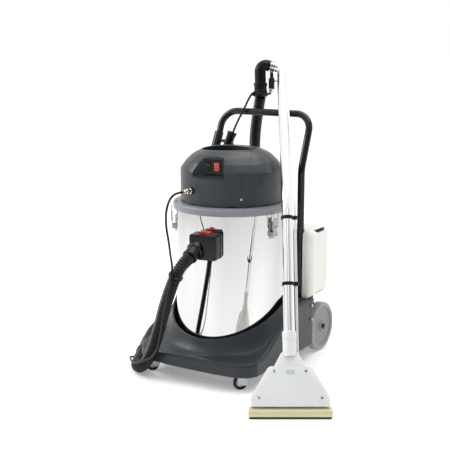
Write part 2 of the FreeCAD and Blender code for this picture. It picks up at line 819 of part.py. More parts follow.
def make_wand():
    low = wand_point(83, 206)
    knee = wand_point(314, 690)
    top = WAND_TOP
    end = WAND_END
    radius = dim("wand_radius").value
    tube = bent_tube("wand", [low, knee, top, end], [260, 27], radius, dim("wand_wall").value)
    keep(tube, "wand_tube")

    grip = bent_tube("grip", [end, (-74, 339, 1133), GRIP_FOOT], [24], radius + 3.5, 5)
    keep(grip, "wand_elbow")
    foot = Vector(*GRIP_FOOT)
    down = (Vector(*HOSE_END) - foot).normalize()
    length = (Vector(*HOSE_END) - foot).Length
    sleeve = taper("swivel_sleeve", 27, 25.5, length, *foot, along(down))
    bore = rod("swivel_bore", 19, length - 14, *foot, along(down))
    keep(cut("swivel", sleeve, bore), "hose_swivel")

    collars = []
    axis = (Vector(*end) - Vector(*top)).normalize()
    for share in (3, 12):
        at = Vector(*end) - axis * share
        ring = cut("collar_ring", rod("collar_out", radius + 4, 5, *at, along(-axis)),
                   rod("collar_in", radius, 9, *(at + axis * 2), along(-axis)))
        collars.append(ring)
    keep(group("collars", *collars), "wand_collars")

    aside = 28.0
    line_points = [wand_point(72, 112, aside), wand_point(99, 200, aside), wand_point(316, 685, aside),
                   (wand_point(740, 968, aside)), (6, 374, 1066), (-21.0, 365.2, 1061)]
    line = bent_tube("line", line_points, [60, 200, 60, 16], 4)
    keep(line, "solution_line")
    clips = []
    for share in (0.42, 0.855):
        at = Vector(*[low[i] + (knee[i] - low[i]) * share for i in range(3)])
        up = (Vector(*knee) - Vector(*low)).normalize()
        outer = fuse("clip_out", rod("clip_ring", radius + 3.5, 12, *(at - up * 6), along(up)),
                     rod("clip_ear", 8, 12, *(at - up * 6 + Vector(*turned(aside, 4, VIEW_TURN), 0)),
                         along(up)))
        holes = fuse("clip_holes", rod("clip_bore", radius, 20, *(at - up * 10), along(up)),
                     line_bore(line_points[1], line_points[2]))
        clips.append(cut("clip", outer, holes))
    keep(group("clips", *clips), "line_clips")


def line_bore(start, end):
    low = Vector(*start)
    high = Vector(*end)
    up = (high - low).normalize()
    return rod("line_bore", 4, (high - low).Length, *low, along(up))


def make_trigger():
    """Valve and lever, drawn about the valve's own axis and turned to the wand's plane."""
    stance = about_z(VIEW_TURN)
    barrel = fuse("valve_body_parts", rod("valve_barrel", 12, 44, 0, 0, 1030),
                  rod("valve_saddle", 7, 26, 0, 0, 1072),
                  block("valve_ear", (-4.8, -19, 1068), (4.8, -8, 1080)))
    barrel.Placement = Placement(Vector(*VALVE_FOOT), stance)
    end = Vector(*WAND_END)
    axis = (end - Vector(*WAND_TOP)).normalize()
    clear = rod("valve_clear", dim("wand_radius") + 4.2, 160, *(end + axis * 60), along(-axis))
    ear_bore = rod("ear_bore", 1.55, 30, -15, LEVER_PIN[0], LEVER_PIN[1], along((1, 0, 0)))
    bored = group("ear_bore_turned", ear_bore)
    bored.Placement = Placement(Vector(*VALVE_FOOT), stance)
    keep(cut("valve", barrel, fuse("valve_holes", clear, bored)), "trigger_valve")

    paddle = block("paddle", (-7, -24, 1038), (7, -21, 1079))
    cheeks = [block("cheek_low", (-7, -24, 1066), (-5, -13, 1079)),
              block("cheek_high", (5, -24, 1066), (7, -13, 1079))]
    pin = rod("paddle_pin", 1.5, 12, -6, LEVER_PIN[0], LEVER_PIN[1], along((1, 0, 0)))
    lever = fuse("trigger", paddle, pin, *cheeks)
    keep(stand(lever, *VALVE_FOOT, stance), "trigger_lever")

    start = Vector(*VALVE_FOOT) + Vector(0, 0, 1036)
    way = (Vector(*SOLUTION_END) - start).normalize()
    length = (Vector(*SOLUTION_END) - start).Length
    fitting = fuse("fitting_parts", rod("fitting_stub", 5, length, *start, along(way)),
                   rod("fitting_nut", 7.5, 9, *(start + way * 17), along(way)))
    barrel_clear = rod("barrel_clear", 12, 60, VALVE_FOOT[0], VALVE_FOOT[1], 1000)
    keep(cut("fitting", fitting, barrel_clear), "valve_fitting")


VALVE_FOOT = (-33, 362, 0)
LEVER_PIN = (-16, 1074)


def make_nozzle():
    """Drawn upright about its own foot, leant back and turned to stand before the machine."""
    lean = Rotation(Vector(1, 0, 0), -dim("nozzle_lean").value)
    turn = about_z(dim("nozzle_turn"))
    place = (dim("nozzle_x"), dim("nozzle_y"), dim("sole_high") - 1)
    stance = turn.multiply(lean)

    def front_slab(name, corners, front, back):
        body = doc.addObject("PartDesign::Body", name)
        sketch = outline(body, name + "_front", "XZ_Plane", corners, -as_size(back))
        feature = body.newObject("PartDesign::Pad", name + "_pad")
        feature.Profile = sketch
        bind(feature, "Length", as_size(back) - front)
        return body

    funnel = front_slab("funnel", [
        (-130, 6), (130, 6), (126, 36), (57, 131), (22.8, 193), (-22.8, 193), (-57, 131),
        (-126, 36)], -11, 11)
    neck = rod("nozzle_neck", 22.8, 84, 0, 0, 172)
    body = fuse("nozzle_parts", funnel, neck)
    core = front_slab("funnel_core", [(-120, 0), (120, 0), (116, 34), (48, 130), (16, 190), (-16, 190),
                                      (-48, 130), (-116, 34)], -7, 7)
    bore = rod("nozzle_bore", dim("wand_radius"), 64, 0, 0, 192)
    hollow = cut("nozzle_shell", body, fuse("nozzle_hollow", core, bore))
    keep(stand(hollow, *place, stance), "nozzle_body")

    plate = front_slab("front_plate", [
        (-133, 6), (133, 6), (130, 40), (75, 131), (-75, 131), (-130, 40)], -14, -11)
    holes = [rod("plate_hole", 2.5, 30, x, 0, z, along((0, -1, 0))) for x, z in NOZZLE_SCREWS]
    keep(stand(cut("plate", plate, fuse("plate_holes", *holes)), *place, stance), "nozzle_plate")
    screws = []
    for x, z in NOZZLE_SCREWS:
        screws.append(fuse("screw", rod("shank", 2.5, 3, x, -11, z, along((0, -1, 0))),
                           rod("screw_head", 4, 1.6, x, -14, z, along((0, -1, 0)))))
    keep(stand(group("plate_screws", *screws), *place, stance), "nozzle_screws")

    half = dim("sole_width") * 0.5
    deep = dim("sole_depth") * 0.5
    ground = (dim("nozzle_x"), dim("nozzle_y"), 0)
    bar = block("sole_bar", (-half, -deep, dim("sole_low")), (half, deep, dim("sole_high")))
    slot = block("sole_slot", (-half + 12, -5, 0), (half - 12, 5, 60))
    sole = cut("sole_slotted", bar, slot)
    foot_outline = [(-131, 5), (131, 5), (131, 30), (-131, 30)]
    funnel_clear = stand(front_slab("funnel_clear", foot_outline, -14.1, 11.1),
                         0, 0, dim("sole_high") - 1, lean)
    sole = cut("sole", sole, funnel_clear)
    keep(stand(sole, *ground, turn), "nozzle_sole")
    strip = block("lip_bar", (-half + 3, -deep + 5, 0), (half - 3, deep - 5, dim("sole_low")))
    mouth = block("lip_mouth", (-half + 12, -5, -5), (half - 12, 5, 20))
    keep(stand(cut("lip", strip, mouth), *ground, turn), "nozzle_lip")
    x, y = turned(28, 70, VIEW_TURN)
    keep(ball("jet", 8, dim("nozzle_x") + x, dim("nozzle_y") + y, 105), "spray_jet")


NOZZLE_SCREWS = ((-53, 122), (53, 122), (-104, 34), (104, 34))


# ---------------------------------------------------------------- holder, hoses and clips

def make_holder():
    top = Vector(-112, 190, 868)
    foot = Vector(-130, 179, 812)
    up = (top - foot).normalize()
    length = (top - foot).Length
    body = fuse("holder_parts", rod("holder_tube", 17, length, *foot, along(up)),
                rod("holder_rim", 19, 12, *(top - up * 12), along(up)))
    strap_start = foot + up * 22
    leg = Vector(-dim("handle_x").value, 213, 828)
    strap_way = (leg - strap_start).normalize()
    strap = rod("holder_strap", 6, (leg - strap_start).Length - 8, *strap_start, along(strap_way))
    clamp = bent_tube("holder_clamp", [(-197, 197, 800), (-197, 228, 860)], [], 18)
    bore = rod("holder_bore", 14, length, *(foot + up * 6), along(up))
    solid = fuse("holder_solid", body, strap, clamp)
    leg_clear = bent_tube("leg_clear", HANDLE_SLOPE, [120], 13.5)
    keep(cut("holder", solid, fuse("holder_holes", bore, leg_clear)), "accessory_holder")


HANDLE_SLOPE = [(-197, 184, 600), (-197, 184, 742), (-197, 265, 945)]

HOSE_END = (-63, 326, 1000)
HOSE = [
    (12, -345, 462), (0, -363, 436), (-13, -371, 402), (-28, -374, 362), (-54, -368, 303),
    (-81, -356, 237),
    (-109, -343, 176), (-137, -332, 118), (-164, -326, 70), (-202, -318, 33), (-245, -288, 24),
    (-272, -235, 24),
    (-300, -175, 28), (-335, -110, 28), (-385, -20, 24), (-435, 75, 24), (-470, 170, 24), (-482, 260, 24),
    (-460, 345, 24), (-395, 415, 24), (-310, 449, 24), (-238, 466, 55), (-181, 478, 113), (-151, 485, 188),
    (-148, 484, 285), (-143, 470, 390), (-138, 450, 495), (-133, 425, 600), (-126, 395, 705),
    (-110, 362, 810),
    (-86, 336, 910)]

SOLUTION_END = (-19, 324, 1015)
SOLUTION = [
    (-82.7, -248.6, 689), (-92, -275, 672), (-94, -298, 630), (-80, -318, 578), (-53, -340, 528),
    (-25, -372, 490), (3, -400, 458), (5, -412, 414), (-8, -414, 359), (-30, -408, 290), (-52, -396, 215),
    (-76, -382, 145), (-108, -372, 106), (-150, -362, 82), (-196, -350, 58), (-246, -320, 50),
    (-284, -274, 47), (-312, -222, 25), (-337, -176, 8), (-366, -120, 8), (-412, -34, 8), (-463, 62, 8),
    (-500, 160, 8), (-513, 261, 8), (-488, 360, 8), (-413, 441, 8), (-317, 480, 8), (-245, 497, 50),
    (-188, 510, 110), (-160, 517, 188), (-157, 516, 285), (-154, 502, 390), (-152, 480, 495),
    (-156, 448, 600), (-163, 395, 700), (-165, 320, 770), (-152, 255, 812), (-133, 217, 850),
    (-108, 217, 903), (-92, 239, 950), (-83, 263, 992), (-77, 281, 1016), (-62, 288, 1022),
    (-42, 288, 1014), (-28, 300, 1009)]


def make_hoses():
    start, away = cuff_line()
    cuff_end = start + away * CUFF_LENGTH
    cord("suction_hose", [tuple(cuff_end)] + HOSE + [HOSE_END], dim("hose_radius").value)
    out = Vector(*turned(1, 0, -108.4), 0)
    coupling_end = out * 230.3 + Vector(0, 0, 689)
    cord("solution_hose", [tuple(coupling_end)] + SOLUTION + [SOLUTION_END], dim("solution_radius").value)


def make_hose_clips():
    """Straps round the suction hose, to which the solution hose is tied."""
    clips = []
    for (low, high), radius in zip(CLIP_LINES, (24.6, 24.6, 27.6)):
        start = Vector(*low)
        up = (Vector(*high) - start).normalize()
        ring = cut("strap", rod("strap_out", radius + 2.4, 12, *(start + up * 4), along(up)),
                   rod("strap_in", radius, 20, *start, along(up)))
        clips.append(ring)
    keep(group("straps", *clips), "hose_clips")


CLIP_LINES = (((0, -363, 436), (-13, -371, 402)), ((-300, -175, 28), (-335, -110, 28)),
              (HOSE_END, GRIP_FOOT))


def check_and_write():
    doc.recompute()
    for thing in doc.Objects:
        bad = [word for word in thing.State if word in ("Invalid", "Error")]
        if bad:
            raise ValueError(f"{thing.Name} {thing.Label} {thing.State}")
    for node in nodes:
        if node.Shape.isNull() or not node.Shape.isValid():
            raise ValueError(f"{node.Label} has no valid shape")
        if node.Shape.Volume <= 0:
            raise ValueError(f"{node.Label} has no volume")
    os.makedirs("parts", exist_ok=True)
    for node in nodes:
        node.Shape.exportStep(f"parts/{node.Label}.step")
    print(len(nodes), "sub-parts")


fill_sheet()
make_base()
make_handle()
make_wheels()
make_casters()
make_drum()
make_inlet()
make_latches()
make_head()
make_tank()
make_wand()
make_trigger()
make_nozzle()
make_holder()
make_hoses()
make_hose_clips()
check_and_write()
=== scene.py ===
import json
import math

import bmesh
import bpy
from mathutils import Matrix, Vector


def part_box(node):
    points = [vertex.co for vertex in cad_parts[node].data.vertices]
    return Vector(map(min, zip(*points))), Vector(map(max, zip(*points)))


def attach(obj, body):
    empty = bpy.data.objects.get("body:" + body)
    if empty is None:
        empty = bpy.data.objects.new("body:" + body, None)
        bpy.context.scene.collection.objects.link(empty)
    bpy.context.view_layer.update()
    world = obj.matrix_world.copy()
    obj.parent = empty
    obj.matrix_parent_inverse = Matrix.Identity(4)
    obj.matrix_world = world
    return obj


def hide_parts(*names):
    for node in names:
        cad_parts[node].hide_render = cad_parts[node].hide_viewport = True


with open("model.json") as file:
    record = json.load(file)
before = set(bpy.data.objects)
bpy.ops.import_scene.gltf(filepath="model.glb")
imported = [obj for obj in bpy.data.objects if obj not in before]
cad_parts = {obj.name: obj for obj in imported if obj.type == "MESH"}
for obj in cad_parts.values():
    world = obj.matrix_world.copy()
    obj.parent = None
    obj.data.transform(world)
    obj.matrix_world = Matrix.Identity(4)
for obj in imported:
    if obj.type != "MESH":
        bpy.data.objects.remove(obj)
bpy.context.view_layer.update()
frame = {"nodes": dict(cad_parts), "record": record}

# The shapes below are drawn in millimetres about the drum's axis, with the front towards -Y,
# and at() carries a point into the row frame. The hoses' routes are in metres in the same frame.
drum_low, drum_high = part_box("steel_drum")
AXIS = Vector(((drum_low.x + drum_high.x) / 2, (drum_low.y + drum_high.y) / 2, 0))
DRUM_R = (drum_high.x - drum_low.x) * 500
DRUM_TOP = drum_high.z * 1000
RING_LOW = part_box("head_ring")[0].z * 1000
RING_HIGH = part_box("head_ring")[1].z * 1000
FRONT_TURN = 9.3
WAND_TURN = 31.5
SEAM_TURN = -49.0
MM = Matrix.Scale(0.001, 4)
WHEEL_RADIUS = 97.2
AXLE_Y = 310
NOZZLE_X, NOZZLE_Y = 457, -381
HOSE_TOP = (-63, 326, 1000)
GRIP_FRONT, GRIP_FRONT_RADIUS = (-10, 8), 108
GRIP_BACK, GRIP_BACK_RADIUS = (-10, -75), 110
FLOOR_HALF = 60
FLOOR_GLOW = 0.22
HOSE_STEP = 0.0013
RIB_PITCH = 0.0095
HOSE_VALLEY, RIB_HEIGHT = 0.0190, 0.0040
NODES = frame["nodes"]


def at(x, y, z):
    return AXIS + Vector((x, y, z)) / 1000


def turned(x, y, degrees):
    a = math.radians(degrees)
    return x * math.cos(a) - y * math.sin(a), x * math.sin(a) + y * math.cos(a)


def upright(degrees, x=0.0, y=0.0, z=0.0):
    """The matrix that puts a shape drawn in millimetres at a point, turned about Z."""
    return Matrix.Translation(at(x, y, z)) @ Matrix.Rotation(math.radians(degrees), 4, "Z") @ MM


def along(start, end):
    """The matrix that lays a shape drawn along +Z from one point in the drum's frame towards another."""
    way = (Vector(end) - Vector(start)).normalized()
    return Matrix.Translation(at(*start)) @ way.to_track_quat("Z", "Y").to_matrix().to_4x4() @ MM


# ---------------------------------------------------------------- materials

def noise(tree, scale, detail=3.0, rough=0.5, stretch=None):
    links = tree.links
    place = tree.nodes.new("ShaderNodeTexCoord")
    node = tree.nodes.new("ShaderNodeTexNoise")
    node.inputs["Scale"].default_value = scale
    node.inputs["Detail"].default_value = detail
    node.inputs["Roughness"].default_value = rough
    if stretch:
        mapping = tree.nodes.new("ShaderNodeMapping")
        mapping.inputs["Scale"].default_value = stretch
        links.new(place.outputs["Object"], mapping.inputs["Vector"])
        links.new(mapping.outputs["Vector"], node.inputs["Vector"])
    else:
        links.new(place.outputs["Object"], node.inputs["Vector"])
    return node.outputs["Fac"]


def spread(tree, source, low, high):
    node = tree.nodes.new("ShaderNodeMapRange")
    node.inputs["From Min"].default_value = 0.3
    node.inputs["From Max"].default_value = 0.7
    node.inputs["To Min"].default_value = low
    node.inputs["To Max"].default_value = high
    tree.links.new(source, node.inputs["Value"])
    return node.outputs["Result"]


def finish_of(name, colour, rough, metallic=0.0, vary=0.1, patch=9.0, rough_vary=0.06, grain=700.0,
              depth=0.00004, strength=0.4, coat=0.0, glow=0.0, wear=0.0, stretch=None, specular=0.5,
              painted_reflection_bands=None):
    """A moulded, painted or plated surface: mottled colour, uneven gloss, fine grain and worn edges; stretched colour
    bands paint reflection streaks into it.
    """
    made = bpy.data.materials.new(name)
    made.use_nodes = True
    tree = made.node_tree
    shader = tree.nodes["Principled BSDF"]
    shader.inputs["Metallic"].default_value = metallic
    shader.inputs["Coat Weight"].default_value = coat
    shader.inputs["Coat Roughness"].default_value = 0.08
    shader.inputs["Specular IOR Level"].default_value = specular
    if glow:
        shader.inputs["Subsurface Weight"].default_value = glow
        shader.inputs["Subsurface Radius"].default_value = (1.0, 0.95, 0.85)
        shader.inputs["Subsurface Scale"].default_value = 0.012
    mixed = tree.nodes.new("ShaderNodeMix")
    mixed.data_type = "RGBA"
    mixed.inputs["A"].default_value = [c * (1 - vary) for c in colour] + [1]
    mixed.inputs["B"].default_value = [min(1, c * (1 + vary)) for c in colour] + [1]
    # With bands, this colour mottle is stretched into painted reflection streaks.
    tree.links.new(spread(tree, noise(tree, patch, 4.0, stretch=painted_reflection_bands), 0, 1), mixed.inputs["Factor"])
    shade = mixed.outputs["Result"]
    if wear:
        shape = tree.nodes.new("ShaderNodeNewGeometry")
        edge = tree.nodes.new("ShaderNodeMapRange")
        edge.inputs["From Min"].default_value = 0.52
        edge.inputs["From Max"].default_value = 0.62
        edge.inputs["To Max"].default_value = wear
        tree.links.new(shape.outputs["Pointiness"], edge.inputs["Value"])
        worn = tree.nodes.new("ShaderNodeMix")
        worn.data_type = "RGBA"
        worn.inputs["B"].default_value = [min(1, c * 1.7 + 0.03) for c in colour] + [1]
        tree.links.new(edge.outputs["Result"], worn.inputs["Factor"])
        tree.links.new(shade, worn.inputs["A"])
        shade = worn.outputs["Result"]
    tree.links.new(shade, shader.inputs["Base Color"])
    gloss = noise(tree, patch * 3, 5.0, 0.6, stretch)
    gloss = spread(tree, gloss, max(0.02, rough - rough_vary), rough + rough_vary)
    tree.links.new(gloss, shader.inputs["Roughness"])
    bump = tree.nodes.new("ShaderNodeBump")
    bump.inputs["Strength"].default_value = strength
    bump.inputs["Distance"].default_value = depth
    tree.links.new(noise(tree, grain, 2.0, 0.6, stretch), bump.inputs["Height"])
    tree.links.new(bump.outputs["Normal"], shader.inputs["Normal"])
    return made


FINISH = {
    "base_plastic": finish_of("base_plastic", (0.022, 0.027, 0.032), 0.40, wear=0.35, vary=0.07, specular=0.32),
    "head_plastic": finish_of("head_plastic", (0.020, 0.025, 0.030), 0.34, wear=0.30, vary=0.06, specular=0.4),
    "ring_plastic": finish_of("ring_plastic", (0.205, 0.218, 0.235), 0.42, vary=0.05, wear=0.2, specular=0.4),
    # The steel's colour is mottled in long vertical streaks: painted reflection bands, not a tone of the steel.
    "drum_steel": finish_of("drum_steel", (0.60, 0.595, 0.585), 0.05, metallic=1.0, vary=0.16, patch=5.0,
                            rough_vary=0.02, grain=3.0, depth=0.0006, strength=0.2, painted_reflection_bands=(1, 1, 0.06)),
    "chrome_tube": finish_of("chrome_tube", (0.92, 0.92, 0.93), 0.035, metallic=1.0, vary=0.02, rough_vary=0.012,
                             grain=8.0, depth=0.00001, strength=0.05),
    "handle_paint": finish_of("handle_paint", (0.003, 0.003, 0.0035), 0.24, coat=0.15, grain=220.0, depth=0.00005,
                              specular=0.3),
    "tank_plastic": finish_of("tank_plastic", (0.83, 0.825, 0.775), 0.38, glow=0.35, vary=0.03, grain=300.0,
                              specular=0.3),
    "nozzle_plastic": finish_of("nozzle_plastic", (0.76, 0.77, 0.765), 0.42, glow=0.25, vary=0.02, grain=500.0,
                                specular=0.3),
    "sole_plastic": finish_of("sole_plastic", (0.66, 0.62, 0.40), 0.42, glow=0.15, vary=0.05, specular=0.3),
    "black_plastic": finish_of("black_plastic", (0.0025, 0.0025, 0.003), 0.2, vary=0.1, wear=0.15, specular=0.3),
    "hose_rubber": finish_of("hose_rubber", (0.0022, 0.0022, 0.0025), 0.16, vary=0.15, patch=20.0, specular=0.32),
    "black_rubber": finish_of("black_rubber", (0.003, 0.003, 0.003), 0.34, vary=0.15, patch=20.0, specular=0.22),
    "switch_red": finish_of("switch_red", (0.52, 0.045, 0.02), 0.22, vary=0.06, coat=0.3),
    "latch_red": finish_of("latch_red", (0.66, 0.008, 0.006), 0.25, vary=0.06, coat=0.3),
    "tyre_grey": finish_of("tyre_grey", (0.36, 0.345, 0.325), 0.62, vary=0.08, grain=500.0, depth=0.0001),
    "hub_grey": finish_of("hub_grey", (0.23, 0.228, 0.225), 0.5, vary=0.06),
    "zinc_steel": finish_of("zinc_steel", (0.36, 0.36, 0.37), 0.24, metallic=1.0, vary=0.05, stretch=(1, 1, 12)),
    "brass": finish_of("brass", (0.70, 0.60, 0.46), 0.2, metallic=1.0, vary=0.08),
    "motor_metal": finish_of("motor_metal", (0.5, 0.5, 0.52), 0.4, metallic=1.0, vary=0.05),
}
WINDOW = finish_of("window_tint", (0.50, 0.58, 0.66), 0.18, vary=0.04, coat=0.4)
# A black finish painted where there is only shade: the depth of the drain hole and the walls of the grip hollow.
PAINTED_SHADE = finish_of("painted_shade_void", (0.004, 0.004, 0.004), 0.7, vary=0.1)


# ---------------------------------------------------------------- mesh helpers

def piece(name, mesh, slot, body, *stands_for, sharp=35.0):
    """Make an object of the mesh, give it its finish and its body, and let it stand for CAD nodes."""
    mesh.shade_smooth()
    mesh.set_sharp_from_angle(angle=math.radians(sharp))
    obj = bpy.data.objects.new(name, mesh)
    bpy.context.scene.collection.objects.link(obj)
    if not mesh.materials:
        mesh.materials.append(FINISH[slot])
    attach(obj, body)
    if stands_for:
        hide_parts(*stands_for)
    return obj


def mesh_of(name, points, faces):
    mesh = bpy.data.meshes.new(name)
    mesh.from_pydata([tuple(p) for p in points], [], faces)
    mesh.validate()
    return mesh


def soften(points, radius, steps=4, closed=True):
    """Round the corners of a flat outline or profile with short arcs."""
    made = []
    count = len(points)
    for i, here in enumerate(points):
        here = Vector(here)
        size = radius[i] if isinstance(radius, (list, tuple)) else radius
        if (not closed and i in (0, count - 1)) or size <= 0:
            made.append(tuple(here))
            continue
        before = Vector(points[i - 1]) - here
        after = Vector(points[(i + 1) % count]) - here
        turn = math.pi - before.angle(after)
        if turn < 0.02:
            made.append(tuple(here))
            continue
        reach = min(size * math.tan(turn / 2), before.length * 0.45, after.length * 0.45)
        first = here + before.normalized() * reach
        last = here + after.normalized() * reach
        for k in range(steps + 1):
            t = k / steps
            made.append(tuple(first * (1 - t) ** 2 + here * 2 * t * (1 - t) + last * t * t))
    return made


def lathe(name, profile, matrix, steps=96, closed=True):
    """A solid of revolution about the matrix's Z axis, from (radius, height) points."""
    points = []
    rings = []
    for r, z in profile:
        if r < 0.01:
            rings.append([len(points)] * steps)
            points.append(matrix @ Vector((0, 0, z)))
            continue
        rings.append(list(range(len(points), len(points) + steps)))
        for k in range(steps):
            a = 2 * math.pi * k / steps
            points.append(matrix @ Vector((r * math.cos(a), r * math.sin(a), z)))
    faces = []
    pairs = list(zip(rings, rings[1:]))
    if closed:
        pairs.append((rings[-1], rings[0]))
    for low, high in pairs:
        for k in range(steps):
            n = (k + 1) % steps
            corners = [low[k], low[n], high[n], high[k]]
            face = [c for i, c in enumerate(corners) if c not in corners[:i]]
            if len(face) > 2:
                faces.append(face)
    mesh = mesh_of(name, points, faces)
    return outward(mesh)


def outward(mesh):
    made = bmesh.new()
    made.from_mesh(mesh)
    bmesh.ops.recalc_face_normals(made, faces=made.faces)
    made.to_mesh(mesh)
    made.free()
    return mesh


def arcs(points, radii, step=4.0):
    """A rigid tube's centre line: straight runs joined by arcs."""
    points = [Vector(p) for p in points]
    made = [points[0]]
    for here, before, after, radius in zip(points[1:-1], points, points[2:], radii):
        into = (here - before).normalized()
        away = (after - here).normalized()
        turn = into.angle(away)
        reach = radius * math.tan(turn / 2)
        first = here - into * reach
        centre = first + (away - into * into.dot(away)).normalized() * radius
        axis = into.cross(away).normalized()
        count = max(3, int(math.degrees(turn) / step))
        for k in range(count + 1):
            spin = Matrix.Rotation(turn * k / count, 3, axis)
            made.append(centre + spin @ (first - centre))
    made.append(points[-1])
    return made


def frames(path):
    """The path's points, each with its direction and two cross directions that don't twist."""
    made = []
    side = None
    for i, here in enumerate(path):
        ahead = path[min(i + 1, len(path) - 1)] - path[max(i - 1, 0)]
        way = ahead.normalized()
        if side is None:
            side = way.orthogonal().normalized()
        side = (side - way * side.dot(way)).normalized()
        made.append((here, way, side, way.cross(side)))
    return made


def pipe(name, path, radius, sides=32, caps=True):
    """A round bar along a path in metres; radius is one number or a function of the point's index."""
    points = []
    faces = []
    rows = frames(path)
    for i, (here, _, side, other) in enumerate(rows):
        size = radius(i) if callable(radius) else radius
        for k in range(sides):
            a = 2 * math.pi * k / sides
            points.append(here + side * (size * math.cos(a)) + other * (size * math.sin(a)))
    for i in range(len(rows) - 1):
        for k in range(sides):
            n = (k + 1) % sides
            faces.append((i * sides + k, i * sides + n, (i + 1) * sides + n, (i + 1) * sides + k))
    if caps:
        faces.append(tuple(range(sides - 1, -1, -1)))
        faces.append(tuple(range((len(rows) - 1) * sides, len(rows) * sides)))
    return mesh_of(name, points, faces)


def in_row(points):
    return [at(*p) for p in points]


def prism(name, outline, low, high, matrix, edge=0.0, steps=3):
    """A plate from a flat outline, from one height to another, with rounded rims."""
    made = bmesh.new()
    corners = [made.verts.new((x, y, low)) for x, y in outline]
    bottom = made.faces.new(corners)
    lifted = bmesh.ops.extrude_face_region(made, geom=[bottom])
    tops = [v for v in lifted["geom"] if isinstance(v, bmesh.types.BMVert)]
    bmesh.ops.translate(made, verts=tops, vec=(0, 0, high - low))
    bmesh.ops.recalc_face_normals(made, faces=made.faces)
    if edge:
        rims = [e for e in made.edges if abs(e.verts[0].co.z - e.verts[1].co.z) < 1e-6]
        bmesh.ops.bevel(made, geom=rims, offset=edge, segments=steps, profile=0.5, affect="EDGES")
    mesh = bpy.data.meshes.new(name)
    made.to_mesh(mesh)
    made.free()
    mesh.transform(matrix)
    return mesh


def rounded_box(name, low, high, radius, matrix, steps=4):
    made = bmesh.new()
    bmesh.ops.create_cube(made, size=1)
    middle = (Vector(low) + Vector(high)) / 2
    size = Vector(high) - Vector(low)
    for v in made.verts:
        v.co = middle + Vector((v.co.x * size.x, v.co.y * size.y, v.co.z * size.z))
    bmesh.ops.bevel(made, geom=made.edges[:], offset=radius, segments=steps, profile=0.5, affect="EDGES")
    mesh = bpy.data.meshes.new(name)
    made.to_mesh(mesh)
    made.free()
    mesh.transform(matrix)
    return mesh


def carved(mesh, *cutters):
    """The mesh with the cutters' shapes taken out of it."""
    base = bpy.data.objects.new("carving", mesh)
    bpy.context.scene.collection.objects.link(base)
    tools = []
    for cutter in cutters:
        tool = bpy.data.objects.new("cutter", cutter)
        bpy.context.scene.collection.objects.link(tool)
        tools.append(tool)
        step = base.modifiers.new("cut", "BOOLEAN")
        step.operation = "DIFFERENCE"
        step.solver = "EXACT"
        step.object = tool
    bpy.context.view_layer.update()
    made = bpy.data.meshes.new_from_object(base.evaluated_get(bpy.context.evaluated_depsgraph_get()))
    for obj in [base] + tools:
        bpy.data.objects.remove(obj)
    return made


def joined(name, *meshes):
    made = bmesh.new()
    for mesh in meshes:
        made.from_mesh(mesh)
    mesh = bpy.data.meshes.new(name)
    made.to_mesh(mesh)
    made.free()
    return mesh


def blended(table, x, width=0.0):
    """A height from a table of (place, height) points; a width rounds its corners off."""
    def plain(place):
        if place <= table[0][0]:
            return table[0][1]
        for (a, low), (b, high) in zip(table, table[1:]):
            if place <= b:
                return low + (high - low) * (place - a) / (b - a)
        return table[-1][1]
    if not width:
        return plain(x)
    spots = [x + width * (k / 4 - 1) for k in range(9)]
    return sum(plain(s) for s in spots) / 9


# ---------------------------------------------------------------- camera, floor and light

camera = bpy.data.objects.new("camera", bpy.data.cameras.new("camera"))
camera.data.lens = 76.14
camera.data.sensor_width = 36
camera.location = (1.6578, -2.9919, 1.2412)
camera.rotation_euler = (math.radians(78.74), 0, math.radians(31.509))
bpy.context.scene.collection.objects.link(camera)
bpy.context.scene.camera = camera
bpy.context.scene.view_settings.view_transform = "Standard"


def studio_sky():
    """A white studio with one darker side. It is fixed in the world, and doesn't follow the camera."""
    world = bpy.data.worlds.new("studio")
    world.use_nodes = True
    tree = world.node_tree
    place = tree.nodes.new("ShaderNodeTexCoord")
    darker_side = tree.nodes.new("ShaderNodeVectorMath")
    darker_side.operation = "DOT_PRODUCT"
    darker_side.inputs[1].default_value = (0.62, -0.70, -0.35)
    tree.links.new(place.outputs["Generated"], darker_side.inputs[0])
    shade = tree.nodes.new("ShaderNodeMapRange")
    shade.interpolation_type = "SMOOTHSTEP"
    shade.inputs["From Min"].default_value = 0.1
    shade.inputs["From Max"].default_value = 0.9
    shade.inputs["To Min"].default_value = 1.0
    shade.inputs["To Max"].default_value = 0.05
    tree.links.new(darker_side.outputs["Value"], shade.inputs["Value"])
    tree.links.new(shade.outputs["Result"], tree.nodes["Background"].inputs["Strength"])
    tree.nodes["Background"].inputs["Color"].default_value = (1, 1, 1, 1)
    bpy.context.scene.world = world


studio_sky()


def lamp(name, place, aim, size, power):
    light = bpy.data.lights.new(name, "AREA")
    light.shape = "RECTANGLE"
    light.size, light.size_y = size
    light.energy = power
    obj = bpy.data.objects.new(name, light)
    obj.location = place
    obj.rotation_euler = (Vector(aim) - Vector(place)).to_track_quat("-Z", "Y").to_euler()
    bpy.context.scene.collection.objects.link(obj)


lamp("key", (-2.8, -1.2, 2.6), (0, 0, 0.5), (1.4, 1.4), 60)
lamp("strip", (2.1, -3.4, 2.9), (0, 0, 0.9), (0.5, 2.8), 6)
lamp("top", (0.2, 0.6, 3.2), (0, 0, 0.4), (2.4, 2.4), 45)


def sheet(name, corners, material):
    """A flat part of the studio."""
    mesh = bpy.data.meshes.new(name)
    mesh.from_pydata(corners, [], [tuple(range(len(corners)))])
    mesh.materials.append(material)
    obj = bpy.data.objects.new(name, mesh)
    bpy.context.scene.collection.objects.link(obj)


